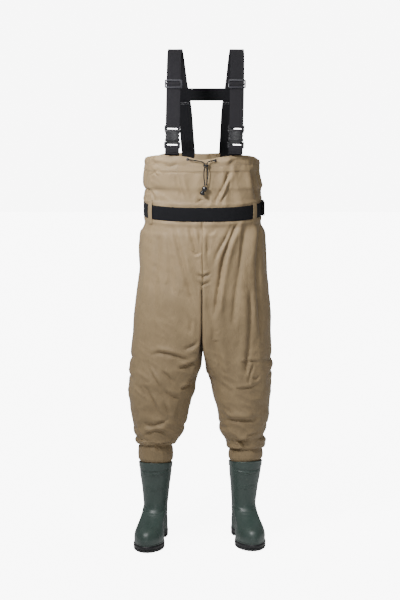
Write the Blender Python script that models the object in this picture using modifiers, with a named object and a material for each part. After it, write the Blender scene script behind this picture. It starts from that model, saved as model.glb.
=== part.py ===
"""Chest waders: one hollow bib-and-trousers shell of coated cloth, sealed into two moulded boots,
with a belt, webbing braces, sliders, side-release buckles and a drawcord.

Metres, +Z up, floor at z = 0. The wearer faces -Y, so the wearer's left is +X.
"""

import math

import bmesh
import bpy
import numpy as np
from mathutils import Matrix, Vector

# Garment
BIB_TOP = 1.428
CROTCH = 0.972
CROTCH_SAG = 0.034
HIP_WIDTH = 0.530
HIP_DEPTH = 0.300
BODY_Y = 0.030
SLIT_X = 0.0065
THIGH_GAP = 0.0040
FABRIC = 0.0012
HEM_DEPTH = 0.050
CUFF_TUCK = 0.030
KNEE_FORWARD = 0.008
TORSO_HALF_COLUMNS = 14
INNER_LEG_COLUMNS = 4

# Boots
BOOT_HEIGHT = 0.293
BOOT_WALL = 0.0025
RIM_WIDTH = 0.120
RIM_DEPTH = 0.132
COLLAR_HEIGHT = 0.018
COLLAR_STEP = 0.0012
SOLE_LENGTH = 0.305
BALL_WIDTH = 0.116
HEEL_BEHIND = 0.084
TOE_CAP = 0.062
TOE_CAP_STEP = 0.0012
BOOT_COLUMNS = 24
RIM_SLOPE = 0.030
# Each boot's place: x as a share of half the hip width and y of the hip depth, its toes' turn outwards in
# degrees, and how far its rim leans outwards in metres
BOOT_PLACES = {"left": (0.6038, 0.1667, 9.5, 0.0080), "right": (-0.6264, 0.0933, 9.0, 0.0)}

# Soles
TOE_SPRING = 0.0045
WELT_INSET = 0.0040
HEEL_LENGTH = 0.076
ARCH_LENGTH = 0.044
ARCH_HEIGHT = 0.013
LUG_DEPTH = 0.0050
LUG_PITCH = 0.0155
LUG_GROOVE = 0.0050
LUG_SWEEP = 0.0100
INSOLE = 0.0040

# Webbing
WEB_WIDTH = 0.050
WEB = 0.0015
CROSSBAR_WIDTH = 0.046
BELT_WIDTH = 0.050
BELT_DROP = 0.189
BELT_HEIGHT = BIB_TOP - BELT_DROP
BELT_DIP = 0.0130
BRACE_TOP = 1.810
BUCKLE_HEIGHT = 1.504
SLIDER_HEIGHT = 1.689
CROSSBAR_HEIGHT = 1.645
HEM_OVERLAP = 0.044
RIM_RISE = 0.0110
LOOP_WIDTH = 0.026
LOOP_REACH = 0.020

# Buckles and sliders
BUCKLE_WIDTH = 0.058
SOCKET_LENGTH = 0.058
PLUG_LENGTH = 0.0235
BUCKLE_BODY = 0.0110
BUCKLE_FRAME = 0.0075
BAR = 0.0030
SLIDER_WIDTH = 0.0620
SLIDER_LENGTH = 0.0310
SLIDER_THICK = 0.0035
SLIDER_SLOT = 0.0080

# Drawcord
CORD = 0.0040
EYELET_RADIUS = 0.0052
EYELET_HOLE = 0.0024
EYELET_THICK = 0.0016
TOGGLE_RADIUS = 0.0095
TOGGLE_LENGTH = 0.0340
TOGGLE_TILT = 26.0
BEAD_LENGTH = 0.0070
BEAD_WALL = 0.0022
BEAD_HEIGHT = 1.4030

GAP = 0.0003
CURVED_GAP = 0.0009

# Webbing round a buckle's bar, and the bars' places from the buckle's split line
LOOP_RADIUS = BAR / 2 + GAP + WEB / 2
LAYER = WEB + GAP * 2
SOCKET_BAR = SOCKET_LENGTH - BUCKLE_FRAME / 2
PLUG_BAR = PLUG_LENGTH - BUCKLE_FRAME / 2


class Table:
    """Rows of numbers under named columns, read smoothly at any value of the first column."""

    def __init__(self, names, rows):
        self.names = names.split()
        self.rows = np.array(rows, float)

    def at(self, where):
        keys = self.rows[:, 0]
        where = min(max(where, keys[0]), keys[-1])
        i = int(np.clip(np.searchsorted(keys, where, side="right") - 1, 0, len(keys) - 2))
        before, after = max(i - 1, 0), min(i + 2, len(keys) - 1)
        span = keys[i + 1] - keys[i]
        t = (where - keys[i]) / span
        start, end = self.rows[i], self.rows[i + 1]
        leave = (end - self.rows[before]) / (keys[i + 1] - keys[before]) * span
        arrive = (self.rows[after] - start) / (keys[after] - keys[i]) * span
        value = (
            (2 * t**3 - 3 * t**2 + 1) * start
            + (t**3 - 2 * t**2 + t) * leave
            + (3 * t**2 - 2 * t**3) * end
            + (t**3 - t**2) * arrive
        )
        return dict(zip(self.names, value))


# Half widths are shares of half the hip width and depths are shares of the hip depth.
# "up" is the share of the way from the crotch to the rim of the bib.
TORSO = Table(
    "up right left front back square",
    [
        (0.000, 0.858, 0.932, 0.480, 0.500, 2.40),
        (0.092, 0.842, 0.913, 0.478, 0.502, 2.35),
        (0.222, 0.842, 0.898, 0.470, 0.498, 2.30),
        (0.349, 0.834, 0.887, 0.458, 0.484, 2.30),
        (0.414, 0.826, 0.879, 0.450, 0.470, 2.30),
        (0.478, 0.800, 0.864, 0.436, 0.448, 2.35),
        (0.568, 0.778, 0.832, 0.424, 0.430, 2.45),
        (0.669, 0.745, 0.825, 0.432, 0.430, 2.45),
        (0.732, 0.770, 0.840, 0.442, 0.434, 2.50),
        (0.796, 0.781, 0.828, 0.446, 0.432, 2.55),
        (0.860, 0.781, 0.806, 0.448, 0.428, 2.55),
        (0.923, 0.766, 0.802, 0.444, 0.420, 2.55),
        (1.000, 0.743, 0.792, 0.436, 0.412, 2.50),
    ],
)

# How far the rim of the bib rises above its named height, by the share of the way from front to back.
RIM = Table(
    "turn right left",
    [
        (0.000, -0.0080, -0.0080),
        (0.071, 0.0040, 0.0010),
        (0.143, 0.0075, 0.0065),
        (0.214, 0.0080, 0.0075),
        (0.286, 0.0060, 0.0050),
        (0.360, 0.0015, -0.0010),
        (0.500, -0.0075, -0.0165),
        (0.700, -0.0070, -0.0110),
        (0.840, 0.0010, 0.0010),
        (1.000, -0.0030, -0.0030),
    ],
)

# "fall" is the share of the way from the crotch down to the boot's rim. "inner" is measured from the
# slit between the legs, and "round" turns the half of the torso, 0, into a tube of its own, 1.
LEG = Table(
    "fall outer_right outer_left inner_right inner_left front back round",
    [
        (0.000, 0.858, 0.932, 0.000, 0.000, 0.480, 0.500, 0.00),
        (0.068, 0.887, 0.943, 0.000, 0.000, 0.484, 0.498, 0.00),
        (0.112, 0.902, 0.958, 0.000, 0.000, 0.478, 0.492, 0.00),
        (0.199, 0.928, 0.974, 0.000, 0.000, 0.462, 0.474, 0.00),
        (0.286, 0.943, 0.974, 0.000, 0.000, 0.442, 0.452, 0.06),
        (0.373, 0.966, 0.990, 0.000, 0.010, 0.420, 0.426, 0.30),
        (0.461, 0.974, 0.992, 0.008, 0.040, 0.396, 0.398, 0.72),
        (0.505, 0.989, 1.007, 0.043, 0.055, 0.386, 0.384, 0.92),
        (0.549, 0.989, 0.992, 0.070, 0.096, 0.374, 0.370, 1.00),
        (0.594, 1.002, 0.992, 0.085, 0.123, 0.362, 0.356, 1.00),
        (0.638, 0.992, 0.981, 0.126, 0.149, 0.350, 0.344, 1.00),
        (0.682, 0.977, 0.966, 0.157, 0.179, 0.338, 0.332, 1.00),
        (0.726, 0.966, 0.966, 0.183, 0.206, 0.326, 0.320, 1.00),
        (0.770, 0.951, 0.955, 0.209, 0.221, 0.312, 0.308, 1.00),
        (0.816, 0.940, 0.913, 0.255, 0.236, 0.296, 0.294, 1.00),
        (0.858, 0.900, 0.875, 0.306, 0.289, 0.272, 0.272, 1.00),
    ],
)

# The gathered end of the leg: height over the boot's rim, and how far it stands out from the rim's outline.
CUFF = {
    "right": [(0.0780, 0.0130), (0.0680, 0.0020), (0.0570, 0.0050), (0.0330, 0.0052), (0.0110, 0.0040)],
    "left": [(0.0760, 0.0105), (0.0600, 0.0095), (0.0460, 0.0010), (0.0300, 0.0042), (0.0110, 0.0030)],
}

# Half widths of the sole's outline on each side of its middle line, as shares of half the ball width.
# They are multiplied by a rounding towards heel and toe.
SOLE_PLAN = Table(
    "along inner outer",
    [
        (0.00, 0.90, 0.90),
        (0.15, 0.88, 0.89),
        (0.35, 0.56, 0.78),
        (0.50, 0.70, 0.93),
        (0.68, 1.00, 1.08),
        (0.82, 1.03, 1.09),
        (0.93, 0.92, 0.96),
        (1.00, 0.76, 0.78),
    ],
)

# Height of the top of the sole, by the share of the way from heel to toe.
SOLE_TOP = Table(
    "along height",
    [(0.00, 0.0320), (0.20, 0.0300), (0.45, 0.0275), (0.70, 0.0255), (0.88, 0.0262), (1.00, 0.0280)],
)

# Rows of the foot, as shares: reach of the sole's length, rise of the boot's height over the sole,
# width of the ball's width. "foot" is how much the row has of the sole's outline.
FOOT = [
    # front, back, front rise, back rise, width, taper, foot
    (0.709, 0.265, 0.000, 0.000, 0.940, 0.00, 1.00),
    (0.716, 0.271, 0.058, 0.048, 0.960, 0.00, 1.00),
    (0.706, 0.270, 0.108, 0.100, 0.960, 0.03, 1.00),
    (0.668, 0.264, 0.155, 0.160, 0.945, 0.12, 1.00),
    (0.590, 0.254, 0.186, 0.212, 0.955, 0.22, 0.92),
    (0.480, 0.242, 0.208, 0.262, 0.965, 0.27, 0.76),
    (0.360, 0.228, 0.234, 0.312, 0.930, 0.24, 0.50),
    (0.268, 0.216, 0.272, 0.364, 0.865, 0.15, 0.24),
]

# Rows of the shaft, as shares: reach of half the rim's depth, height of the boot's height,
# width of the rim's width.
SHAFT = [
    # front, back, front height, back height, width
    (1.010, 0.950, 0.392, 0.515, 0.740),
    (0.880, 0.900, 0.465, 0.565, 0.770),
    (0.845, 0.880, 0.565, 0.625, 0.812),
    (0.865, 0.900, 0.685, 0.705, 0.862),
    (0.925, 0.945, 0.805, 0.795, 0.938),
    (0.975, 0.980, 0.905, 0.870, 0.985),
]

# The braces seen from the side and from the front. "go" runs from 0 at the front rim over 1 at the
# shoulder to 2 at the back rim, and "rise" is the share of the way from the rim to the braces' top. Depths
# from the body's middle are shares of the hip depth, and places and spreads across of half the hip width.
BRACE_MIDDLE = Table("go x", [(0.0, 0.0430), (1.0, 0.0755), (2.0, 0.0925)])
BRACE_PATH = Table(
    "go rise y spread",
    [
        (0.00, 0.000, -0.4600, 0.4249),
        (0.22, 0.190, -0.4533, 0.4253),
        (0.45, 0.420, -0.4200, 0.4257),
        (0.66, 0.690, -0.3400, 0.4257),
        (0.82, 0.880, -0.2267, 0.4257),
        (0.92, 0.972, -0.1267, 0.4226),
        (1.00, 1.000, -0.0333, 0.4151),
        (1.08, 0.972, 0.0600, 0.4057),
        (1.18, 0.880, 0.1633, 0.3887),
        (1.36, 0.670, 0.2600, 0.3547),
        (1.56, 0.440, 0.3133, 0.3019),
        (1.78, 0.200, 0.3500, 0.2774),
        (2.00, 0.000, 0.3667, 0.2604),
    ],
)

# The eyelets' places in x and z, and the drawcord's two strands from in front of them to the toggle,
# chosen by hand.
EYELETS = {"left": (0.0530, 1.4203), "right": (-0.0450, 1.4235)}
STRANDS = {
    "left": [
        (0.0465, -0.1125, 1.4200),
        (0.0380, -0.1135, 1.4192),
        (0.0305, -0.1140, 1.4172),
        (0.0252, -0.1144, 1.4125),
        (0.0232, -0.1146, 1.4050),
        (0.0236, -0.1146, 1.3965),
        (0.0254, -0.1144, 1.3870),
        (0.0264, -0.1142, 1.3770),
        (0.0262, -0.1141, 1.3670),
        (0.0250, -0.1140, 1.3570),
        (0.0232, -0.1140, 1.3470),
        (0.0216, -0.1140, 1.3380),
        (0.0210, -0.1140, 1.3310),
    ],
    "right": [
        (-0.0385, -0.1125, 1.4231),
        (-0.0290, -0.1137, 1.4220),
        (-0.0190, -0.1142, 1.4208),
        (-0.0090, -0.1145, 1.4195),
        (0.0005, -0.1147, 1.4180),
        (0.0090, -0.1148, 1.4148),
        (0.0142, -0.1148, 1.4090),
        (0.0160, -0.1148, 1.4010),
        (0.0150, -0.1146, 1.3920),
        (0.0132, -0.1144, 1.3820),
        (0.0124, -0.1143, 1.3720),
        (0.0126, -0.1142, 1.3620),
        (0.0136, -0.1141, 1.3520),
        (0.0150, -0.1141, 1.3420),
        (0.0158, -0.1141, 1.3310),
    ],
}

SIDES = {"left": 1, "right": -1}


def clear_scene():
    for obj in list(bpy.data.objects):
        bpy.data.objects.remove(obj, do_unlink=True)


def new_collection(name):
    collection = bpy.data.collections.new(name)
    bpy.context.scene.collection.children.link(collection)
    return collection


def material(name, colour, roughness, metallic=0.0):
    made = bpy.data.materials.new(name)
    made.use_nodes = True
    shader = made.node_tree.nodes["Principled BSDF"]
    shader.inputs["Base Color"].default_value = (*colour, 1.0)
    shader.inputs["Roughness"].default_value = roughness
    shader.inputs["Metallic"].default_value = metallic
    made.diffuse_color = (*colour, 1.0)
    return made


def add_mesh(name, bm, look, collection, smooth=True):
    bmesh.ops.recalc_face_normals(bm, faces=bm.faces)
    mesh = bpy.data.meshes.new(name)
    bm.to_mesh(mesh)
    bm.free()
    if smooth:
        mesh.shade_smooth()
        mesh.set_sharp_from_angle(angle=math.radians(40))
    obj = bpy.data.objects.new(name, mesh)
    obj.data.materials.append(look)
    collection.objects.link(obj)
    return obj


def mixed(a, b, share):
    return a + (b - a) * share


def bulged(value, square):
    """A sine or cosine pushed out towards a rounded square: 2 leaves the ellipse."""
    return math.copysign(abs(value) ** (2 / square), value)


def ring_faces(bm, lower, upper):
    count = len(lower)
    for k in range(count):
        after = (k + 1) % count
        bm.faces.new((lower[k], lower[after], upper[after], upper[k]))


def solidify(obj, thickness, offset):
    wall = obj.modifiers.new("wall", "SOLIDIFY")
    wall.thickness = thickness
    wall.offset = offset
    return wall


# The torso and the legs


def belt_zone():
    """The heights between which the torso is straight, so that the belt and its loops lie flat."""
    reach = BELT_WIDTH / 2 + LOOP_REACH
    return BELT_HEIGHT - reach - BELT_DIP * 0.6, BELT_HEIGHT + reach + BELT_DIP * 0.8


def torso_section(z):
    """The torso's reach to each side at a height. It is straight under the belt."""
    low, high = belt_zone()
    if low <= z <= high:
        z = BELT_HEIGHT
    row = TORSO.at((z - CROTCH) / (BIB_TOP - CROTCH))
    extra = FABRIC if z > BIB_TOP - HEM_DEPTH else 0.0
    return {
        "right": row["right"] * HIP_WIDTH / 2 + extra,
        "left": row["left"] * HIP_WIDTH / 2 + extra,
        "front": row["front"] * HIP_DEPTH + extra,
        "back": row["back"] * HIP_DEPTH + extra,
        "square": row["square"],
    }


def torso_point(z, turn, side):
    """A point of the torso's outside. turn runs from 0, middle front, to 1, middle back."""
    row = torso_section(z)
    middle = (row["left"] - row["right"]) / 2
    half = (row["left"] + row["right"]) / 2
    across = bulged(math.sin(math.pi * turn), row["square"])
    along = bulged(math.cos(math.pi * turn), row["square"])
    depth = row["front"] if along > 0 else row["back"]
    return Vector((middle + SIDES[side] * half * across, BODY_Y - depth * along, z))


def torso_ring(z):
    """The columns of one level, from the middle front round the left side and back by the right."""
    half = TORSO_HALF_COLUMNS
    left = [torso_point(z, k / half, "left") for k in range(half + 1)]
    right = [torso_point(z, k / half, "right") for k in range(half - 1, 0, -1)]
    return left + right


def torso_levels():
    shares = (0.09, 0.22, 0.35)
    low = [CROTCH + share * (BIB_TOP - CROTCH) for share in shares]
    hem = BIB_TOP - HEM_DEPTH
    top = BIB_TOP - HEM_DEPTH * 0.45
    belt_low, belt_high = belt_zone()
    return [
        *low,
        belt_low - LOOP_REACH,
        belt_low,
        belt_high,
        (belt_high + hem) / 2,
        hem - FABRIC / 4,
        hem + FABRIC / 4,
        top,
        BIB_TOP,
    ]


def leg_middle(side, fall):
    """Where the middle of the leg lies in depth: over the boot at the bottom, forward at the knee."""
    boot_y = BOOT_PLACES[side][1] * HIP_DEPTH
    return mixed(BODY_Y, boot_y, fall) - KNEE_FORWARD * math.sin(math.pi * fall)


def leg_ring(side, fall):
    """One level of a leg: the outer columns continue the torso's, and the inner ones face the other leg."""
    row = LEG.at(fall)
    sign = SIDES[side]
    z = mixed(CROTCH, BOOT_HEIGHT, fall)
    y = leg_middle(side, fall)
    slit = SLIT_X + sign * THIGH_GAP / 2
    outer = sign * row["outer_" + side] * HIP_WIDTH / 2
    inner = slit + sign * row["inner_" + side] * HIP_WIDTH / 2
    square = TORSO.at(0.0)["square"]
    points = []
    for k in range(TORSO_HALF_COLUMNS + 1):
        turn = math.pi * k / TORSO_HALF_COLUMNS
        across, along = bulged(math.sin(turn), square), bulged(math.cos(turn), square)
        points.append((mixed(slit, outer, across), along, math.radians(270) * k / TORSO_HALF_COLUMNS))
    for j in range(1, INNER_LEG_COLUMNS):
        share = j / INNER_LEG_COLUMNS
        points.append((slit, math.cos(math.pi * (1 - share)), math.radians(270 + 90 * share)))
    ring = []
    for x, along, angle in points:
        angle -= math.radians(135)
        tube_x = mixed(inner, outer, (1 + math.cos(angle)) / 2)
        along = mixed(along, -math.sin(angle), row["round"])
        depth = (row["front"] if along > 0 else row["back"]) * HIP_DEPTH
        ring.append(Vector((mixed(x, tube_x, row["round"]), y - depth * along, z)))
    return ring


def boot_matrix(side):
    x, y, toe_out, _ = BOOT_PLACES[side]
    turn = math.radians(toe_out) * SIDES[side]
    return Matrix.Translation((x * HIP_WIDTH / 2, y * HIP_DEPTH, 0.0)) @ Matrix.Rotation(turn, 4, "Z")


def leaned(side, height):
    """How far outwards the shaft leans at a share of the boot's height."""
    ankle = SHAFT[0][2]
    return BOOT_PLACES[side][3] * min(1.0, max(0.0, (height - ankle) / (1 - ankle)))


def cuff_ring(side, height, growth):
    """A level of the gathered end: the rim's outline grown outwards, in the leg's columns."""
    sign = SIDES[side]
    count = TORSO_HALF_COLUMNS + INNER_LEG_COLUMNS
    toe_out = math.radians(BOOT_PLACES[side][2]) * sign
    ring = []
    for k in range(count):
        if k <= TORSO_HALF_COLUMNS:
            angle = math.radians(270 * k / TORSO_HALF_COLUMNS - 135)
        else:
            angle = math.radians(135 + 90 * (k - TORSO_HALF_COLUMNS) / INNER_LEG_COLUMNS)
        world = Vector((sign * math.cos(angle), math.sin(angle), 0.0))
        local = Matrix.Rotation(-toe_out, 3, "Z") @ world
        x = local.x * (RIM_WIDTH / 2 + growth) + sign * leaned(side, 1 + height / BOOT_HEIGHT)
        z = BOOT_HEIGHT * (1 - RIM_SLOPE * local.y) + height
        ring.append(boot_matrix(side) @ Vector((x, local.y * (RIM_DEPTH / 2 + growth), z)))
    return ring


def build_shell(look, collection):
    bm = bmesh.new()
    half = TORSO_HALF_COLUMNS
    rows = [[bm.verts.new(p) for p in torso_ring(CROTCH)]]
    levels = torso_levels()
    for z in levels:
        ring = torso_ring(z)
        if z == levels[-1]:
            for k, point in enumerate(ring):
                turn = min(k, 2 * half - k) / half
                point.z += RIM.at(turn)["left" if k <= half else "right"]
        rows.append([bm.verts.new(p) for p in ring])
    for lower, upper in zip(rows, rows[1:]):
        ring_faces(bm, lower, upper)
    crotch = []
    front, back = torso_point(CROTCH, 0, "left"), torso_point(CROTCH, 1, "left")
    for j in range(1, INNER_LEG_COLUMNS):
        share = j / INNER_LEG_COLUMNS
        y = mixed(back.y, front.y, (1 - math.cos(math.pi * share)) / 2)
        sag = CROTCH_SAG * math.sin(math.pi * share)
        crotch.append(bm.verts.new((SLIT_X, y, CROTCH - sag)))
    tuck = -(BOOT_WALL + CURVED_GAP)
    for side in SIDES:
        columns = range(half + 1) if side == "left" else [-k for k in range(half + 1)]
        above = [rows[0][k] for k in columns] + crotch
        rings = [leg_ring(side, fall) for fall in LEG.rows[1:, 0]]
        for j in range(1, INNER_LEG_COLUMNS):
            sag = CROTCH_SAG * math.sin(math.pi * j / INNER_LEG_COLUMNS)
            rings[0][half + j].z -= sag * 0.6
            rings[1][half + j].z -= sag * 0.2
        rings += [cuff_ring(side, height, growth) for height, growth in CUFF[side]]
        rings.append(cuff_ring(side, GAP * 4, tuck))
        rings.append(cuff_ring(side, -COLLAR_HEIGHT * 0.9, tuck - COLLAR_STEP))
        rings.append(cuff_ring(side, -CUFF_TUCK, tuck - COLLAR_STEP * 1.4))
        for ring in rings:
            below = [bm.verts.new(p) for p in ring]
            ring_faces(bm, below, above)
            above = below
    shell = add_mesh("wader_shell", bm, look, collection)
    solidify(shell, FABRIC, -1.0)
    return shell


# The boots and their soles


def sole_outline(turn, inset):
    """A point of the outline in the boot's own frame, toes to -Y. turn is 0 at the toe, pi at the heel."""
    along = (1 + math.cos(turn)) / 2
    row = SOLE_PLAN.at(along)
    rounding = abs(math.sin(turn)) ** 0.75
    inner_side = math.sin(turn) < 0
    half = (row["inner"] if inner_side else row["outer"]) * rounding * (BALL_WIDTH / 2 - inset)
    y = mixed(HEEL_BEHIND - inset, HEEL_BEHIND - SOLE_LENGTH + inset, along)
    return math.copysign(half, math.sin(turn)) if half else 0.0, y, along


def foot_row(front, back, front_rise, back_rise, width, taper, foot, follow):
    points = []
    for k in range(BOOT_COLUMNS):
        turn = 2 * math.pi * k / BOOT_COLUMNS
        x, _, along = sole_outline(turn, 0.0)
        x = mixed(math.sin(turn) * BALL_WIDTH / 2, x, foot) * width * (1 - taper * along)
        y = mixed(back, -front, along) * SOLE_LENGTH
        top = SOLE_TOP.at(along)["height"]
        straight = mixed(SOLE_TOP.at(0.0)["height"], SOLE_TOP.at(1.0)["height"], along)
        z = straight + (top - straight) * follow + mixed(back_rise, front_rise, along) * BOOT_HEIGHT
        points.append(Vector((x, y, z + GAP)))
    return points


def shaft_row(side, front, back, front_height, back_height, width, growth=0.0):
    points = []
    for k in range(BOOT_COLUMNS):
        turn = 2 * math.pi * k / BOOT_COLUMNS
        along = (1 + math.cos(turn)) / 2
        height = mixed(back_height, front_height, along)
        x = math.sin(turn) * (RIM_WIDTH / 2 * width + growth) + leaned(side, height)
        y = mixed(back, -front, along) * RIM_DEPTH / 2 - growth * math.cos(turn)
        points.append(Vector((x, y, height * BOOT_HEIGHT)))
    return points


def boot_points(side):
    """Every row of the outside of a boot, in its own frame, from the sole to the rim."""
    rows = []
    for i, row in enumerate(FOOT):
        rows.append(foot_row(*row, 1 - i / len(FOOT)))
    rows += [shaft_row(side, *row) for row in SHAFT]
    collar = 1 - COLLAR_HEIGHT / BOOT_HEIGHT
    for height, growth in ((collar, -COLLAR_STEP), (collar + COLLAR_STEP / BOOT_HEIGHT, 0), (1, 0)):
        front, back = height + RIM_SLOPE, height - RIM_SLOPE
        rows.append(shaft_row(side, 1, 1, front, back, 1, growth))
    return rows


def build_boot(side, look, collection):
    bm = bmesh.new()
    mirror = Vector((SIDES[side], 1, 1))
    rows = [[bm.verts.new(p * mirror) for p in row] for row in boot_points(side)]
    for lower, upper in zip(rows, rows[1:]):
        ring_faces(bm, lower, upper)
    bmesh.ops.recalc_face_normals(bm, faces=bm.faces)
    edge = HEEL_BEHIND - SOLE_LENGTH + TOE_CAP
    for y in (edge, edge - TOE_CAP_STEP):
        everything = bm.verts[:] + bm.edges[:] + bm.faces[:]
        bmesh.ops.bisect_plane(bm, geom=everything, plane_co=(0, y, 0), plane_no=(0, 1, 0.12), dist=1e-6)
    bm.normal_update()
    raised = [v for v in bm.verts if v.co.y + 0.12 * v.co.z < edge - TOE_CAP_STEP + 1e-6]
    base = BOOT_HEIGHT * 0.03 + SOLE_TOP.at(1.0)["height"]
    for vert in raised:
        if vert.co.z > base:
            vert.co += vert.normal * TOE_CAP_STEP
    boot = add_mesh("boot_" + side, bm, look, collection)
    wall = solidify(boot, BOOT_WALL, -1.0)
    wall.use_even_offset = False
    boot.matrix_world = boot_matrix(side)
    return boot


def bottom_height(along):
    """The sole's underside: flat from the heel to the ball, then rising with the toe spring."""
    start = 0.74
    share = max(0.0, (along - start) / (1 - start))
    return TOE_SPRING * share**2


def plan_solid(name, layers, look, collection, side):
    """A solid between outlines of the sole stacked up. Each layer is an inset, the surface that it follows,
    0 for the sole's underside and 1 for its top, and a height over that surface."""
    bm = bmesh.new()
    count = BOOT_COLUMNS
    rings = []
    for inset, surface, height in layers:
        ring = []
        for k in range(count):
            x, y, along = sole_outline(2 * math.pi * k / count, inset)
            z = mixed(bottom_height(along), SOLE_TOP.at(along)["height"], surface) + height
            ring.append(bm.verts.new((x * SIDES[side], y, z)))
        rings.append(ring)
    for lower, upper in zip(rings, rings[1:]):
        ring_faces(bm, lower, upper)
    for ring in (rings[0], rings[-1]):
        bm.faces.new((ring[0], ring[1], ring[-1]))
        bm.faces.new((ring[count // 2], ring[count // 2 - 1], ring[count // 2 + 1]))
        for k in range(1, count // 2 - 1):
            bm.faces.new((ring[k], ring[k + 1], ring[-k - 1], ring[-k]))
    return add_mesh(name, bm, look, collection)


def prism(bm, outline, low, high):
    """An upright solid over a plan outline, between two heights, put into bm."""
    lower = [bm.verts.new((x, y, low)) for x, y in outline]
    upper = [bm.verts.new((x, y, high)) for x, y in outline]
    ring_faces(bm, lower, upper)
    bm.faces.new(lower[::-1])
    bm.faces.new(upper)


def sole_cutter(side, cutters):
    """The arch and the swept grooves between the lugs, as one object of separate solids."""
    bm = bmesh.new()
    wide = BALL_WIDTH
    heel_breast = HEEL_BEHIND - HEEL_LENGTH
    arch_front = heel_breast - ARCH_LENGTH
    arch = [(-wide, heel_breast), (-wide, arch_front), (wide, arch_front), (wide, heel_breast)]
    prism(bm, arch, -ARCH_HEIGHT, ARCH_HEIGHT)
    half = LUG_GROOVE / 2
    toe = HEEL_BEHIND - SOLE_LENGTH
    centres = []
    y = arch_front - LUG_PITCH
    while y > toe + LUG_PITCH:
        centres.append(y)
        y -= LUG_PITCH
    y = heel_breast + LUG_PITCH * 1.1
    while y < HEEL_BEHIND - LUG_PITCH:
        centres.append(y)
        y += LUG_PITCH
    for y in centres:
        along = (HEEL_BEHIND - y) / SOLE_LENGTH
        top = bottom_height(along) + LUG_DEPTH
        sweep = LUG_SWEEP
        outline = [
            (-wide, y + half + sweep),
            (-wide, y - half + sweep),
            (0, y - half),
            (wide, y - half + sweep),
            (wide, y + half + sweep),
            (0, y + half),
        ]
        prism(bm, outline, -LUG_DEPTH, top)
    cutter = add_mesh("sole_cutter_" + side, bm, material("cutter", (1, 0, 0), 0.5), cutters, smooth=False)
    cutter.hide_render = True
    cutter.display_type = "WIRE"
    return cutter


def build_sole(side, looks, collection, cutters):
    layers = [
        (0.0045, 0, 0.0),
        (0.0010, 0, 0.0035),
        (0.0000, 1, -0.0150),
        (0.0016, 1, -0.0138),
        (0.0016, 1, -0.0122),
        (0.0000, 1, -0.0110),
        (0.0000, 1, -0.0022),
        (0.0012, 1, 0.0),
    ]
    sole = plan_solid("outsole_" + side, layers, looks["sole"], collection, side)
    cutter = sole_cutter(side, cutters)
    cut = sole.modifiers.new("lugs", "BOOLEAN")
    cut.operation = "DIFFERENCE"
    cut.object = cutter
    inset = WELT_INSET + BOOT_WALL + CURVED_GAP * 3
    layers = [(inset, 1, GAP), (inset, 1, GAP + INSOLE)]
    insole = plan_solid("insole_" + side, layers, looks["insole"], collection, side)
    for obj in (sole, cutter, insole):
        obj.matrix_world = boot_matrix(side)


# Webbing


def ribbon(name, rows, look, collection, thickness=WEB):
    """Webbing through pairs of edge points, thick by the same amount on both faces."""
    bm = bmesh.new()
    pairs = [(bm.verts.new(a), bm.verts.new(b)) for a, b in rows]
    for (a, b), (c, d) in zip(pairs, pairs[1:]):
        bm.faces.new((a, b, d, c))
    obj = add_mesh(name, bm, look, collection, smooth=False)
    wall = solidify(obj, thickness, 0.0)
    wall.use_even_offset = True
    return obj


def web_loop(radius, steps=6):
    """Half a turn round a buckle's bar, as (along, out) pairs: along is measured past the bar's middle."""
    turns = [math.pi * k / steps for k in range(steps + 1)]
    half = [(BUCKLE_FRAME / 2 + radius * math.sin(a), radius * math.cos(a)) for a in turns]
    return [(-BUCKLE_FRAME / 2 - GAP, radius), *half, (-BUCKLE_FRAME / 2 - GAP, -radius)]


class Track:
    """A line in space with a facing direction, on which webbing and fittings are placed."""

    def __init__(self, points, across):
        self.points = [Vector(p) for p in points]
        self.across = Vector(across).normalized()
        steps = [(b - a).length for a, b in zip(self.points, self.points[1:])]
        self.lengths = np.concatenate([[0.0], np.cumsum(steps)])

    def frame(self, length):
        """(place, along, across, out) at a length from the start."""
        last = len(self.points) - 2
        i = int(np.clip(np.searchsorted(self.lengths, length, side="right") - 1, 0, last))
        start, end = self.points[i], self.points[i + 1]
        along = (end - start).normalized()
        place = start + along * (length - self.lengths[i])
        across = (self.across - along * self.across.dot(along)).normalized()
        return place, along, across, across.cross(along)

    def length_at_height(self, z):
        """The length at which the line first passes a height."""
        for i, (a, b) in enumerate(zip(self.points, self.points[1:])):
            if min(a.z, b.z) <= z <= max(a.z, b.z) and a.z != b.z:
                return self.lengths[i] + (b - a).length * (z - a.z) / (b.z - a.z)
        raise ValueError("the line doesn't pass that height")

    def edges(self, length, out, width):
        place, _, across, outwards = self.frame(length)
        middle = place + outwards * out
        return middle - across * width / 2, middle + across * width / 2

    def matrix(self, length, out=0.0):
        """The frame as a matrix: X across, Y outwards reversed, Z along the line."""
        place, along, across, outwards = self.frame(length)
        turn = Matrix((across, -outwards, along)).transposed().to_4x4()
        return Matrix.Translation(place + outwards * out) @ turn


def brace_track(side, start=0.0, end=2.0, steps=40):
    """The middle of one brace, from the front rim over the shoulder to the back rim."""
    points = []
    for k in range(steps + 1):
        go = mixed(start, end, k / steps)
        row = BRACE_PATH.at(go)
        across = BRACE_MIDDLE.at(go)["x"] + SIDES[side] * row["spread"]
        z = mixed(BIB_TOP, BRACE_TOP, row["rise"])
        points.append((across * HIP_WIDTH / 2, BODY_Y + row["y"] * HIP_DEPTH, z))
    return Track(points, (1, 0, 0))


def flattened(track, low, high):
    """The track with a straight stretch between two heights on the way up, for a stiff fitting."""
    a = track.frame(track.length_at_height(low))[0]
    b = track.frame(track.length_at_height(high))[0]
    before = [p for p, s in zip(track.points, track.lengths) if s < track.length_at_height(low)]
    after = [p for p, s in zip(track.points, track.lengths) if s > track.length_at_height(high)]
    return Track(before + [a, b] + after, track.across)


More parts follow.
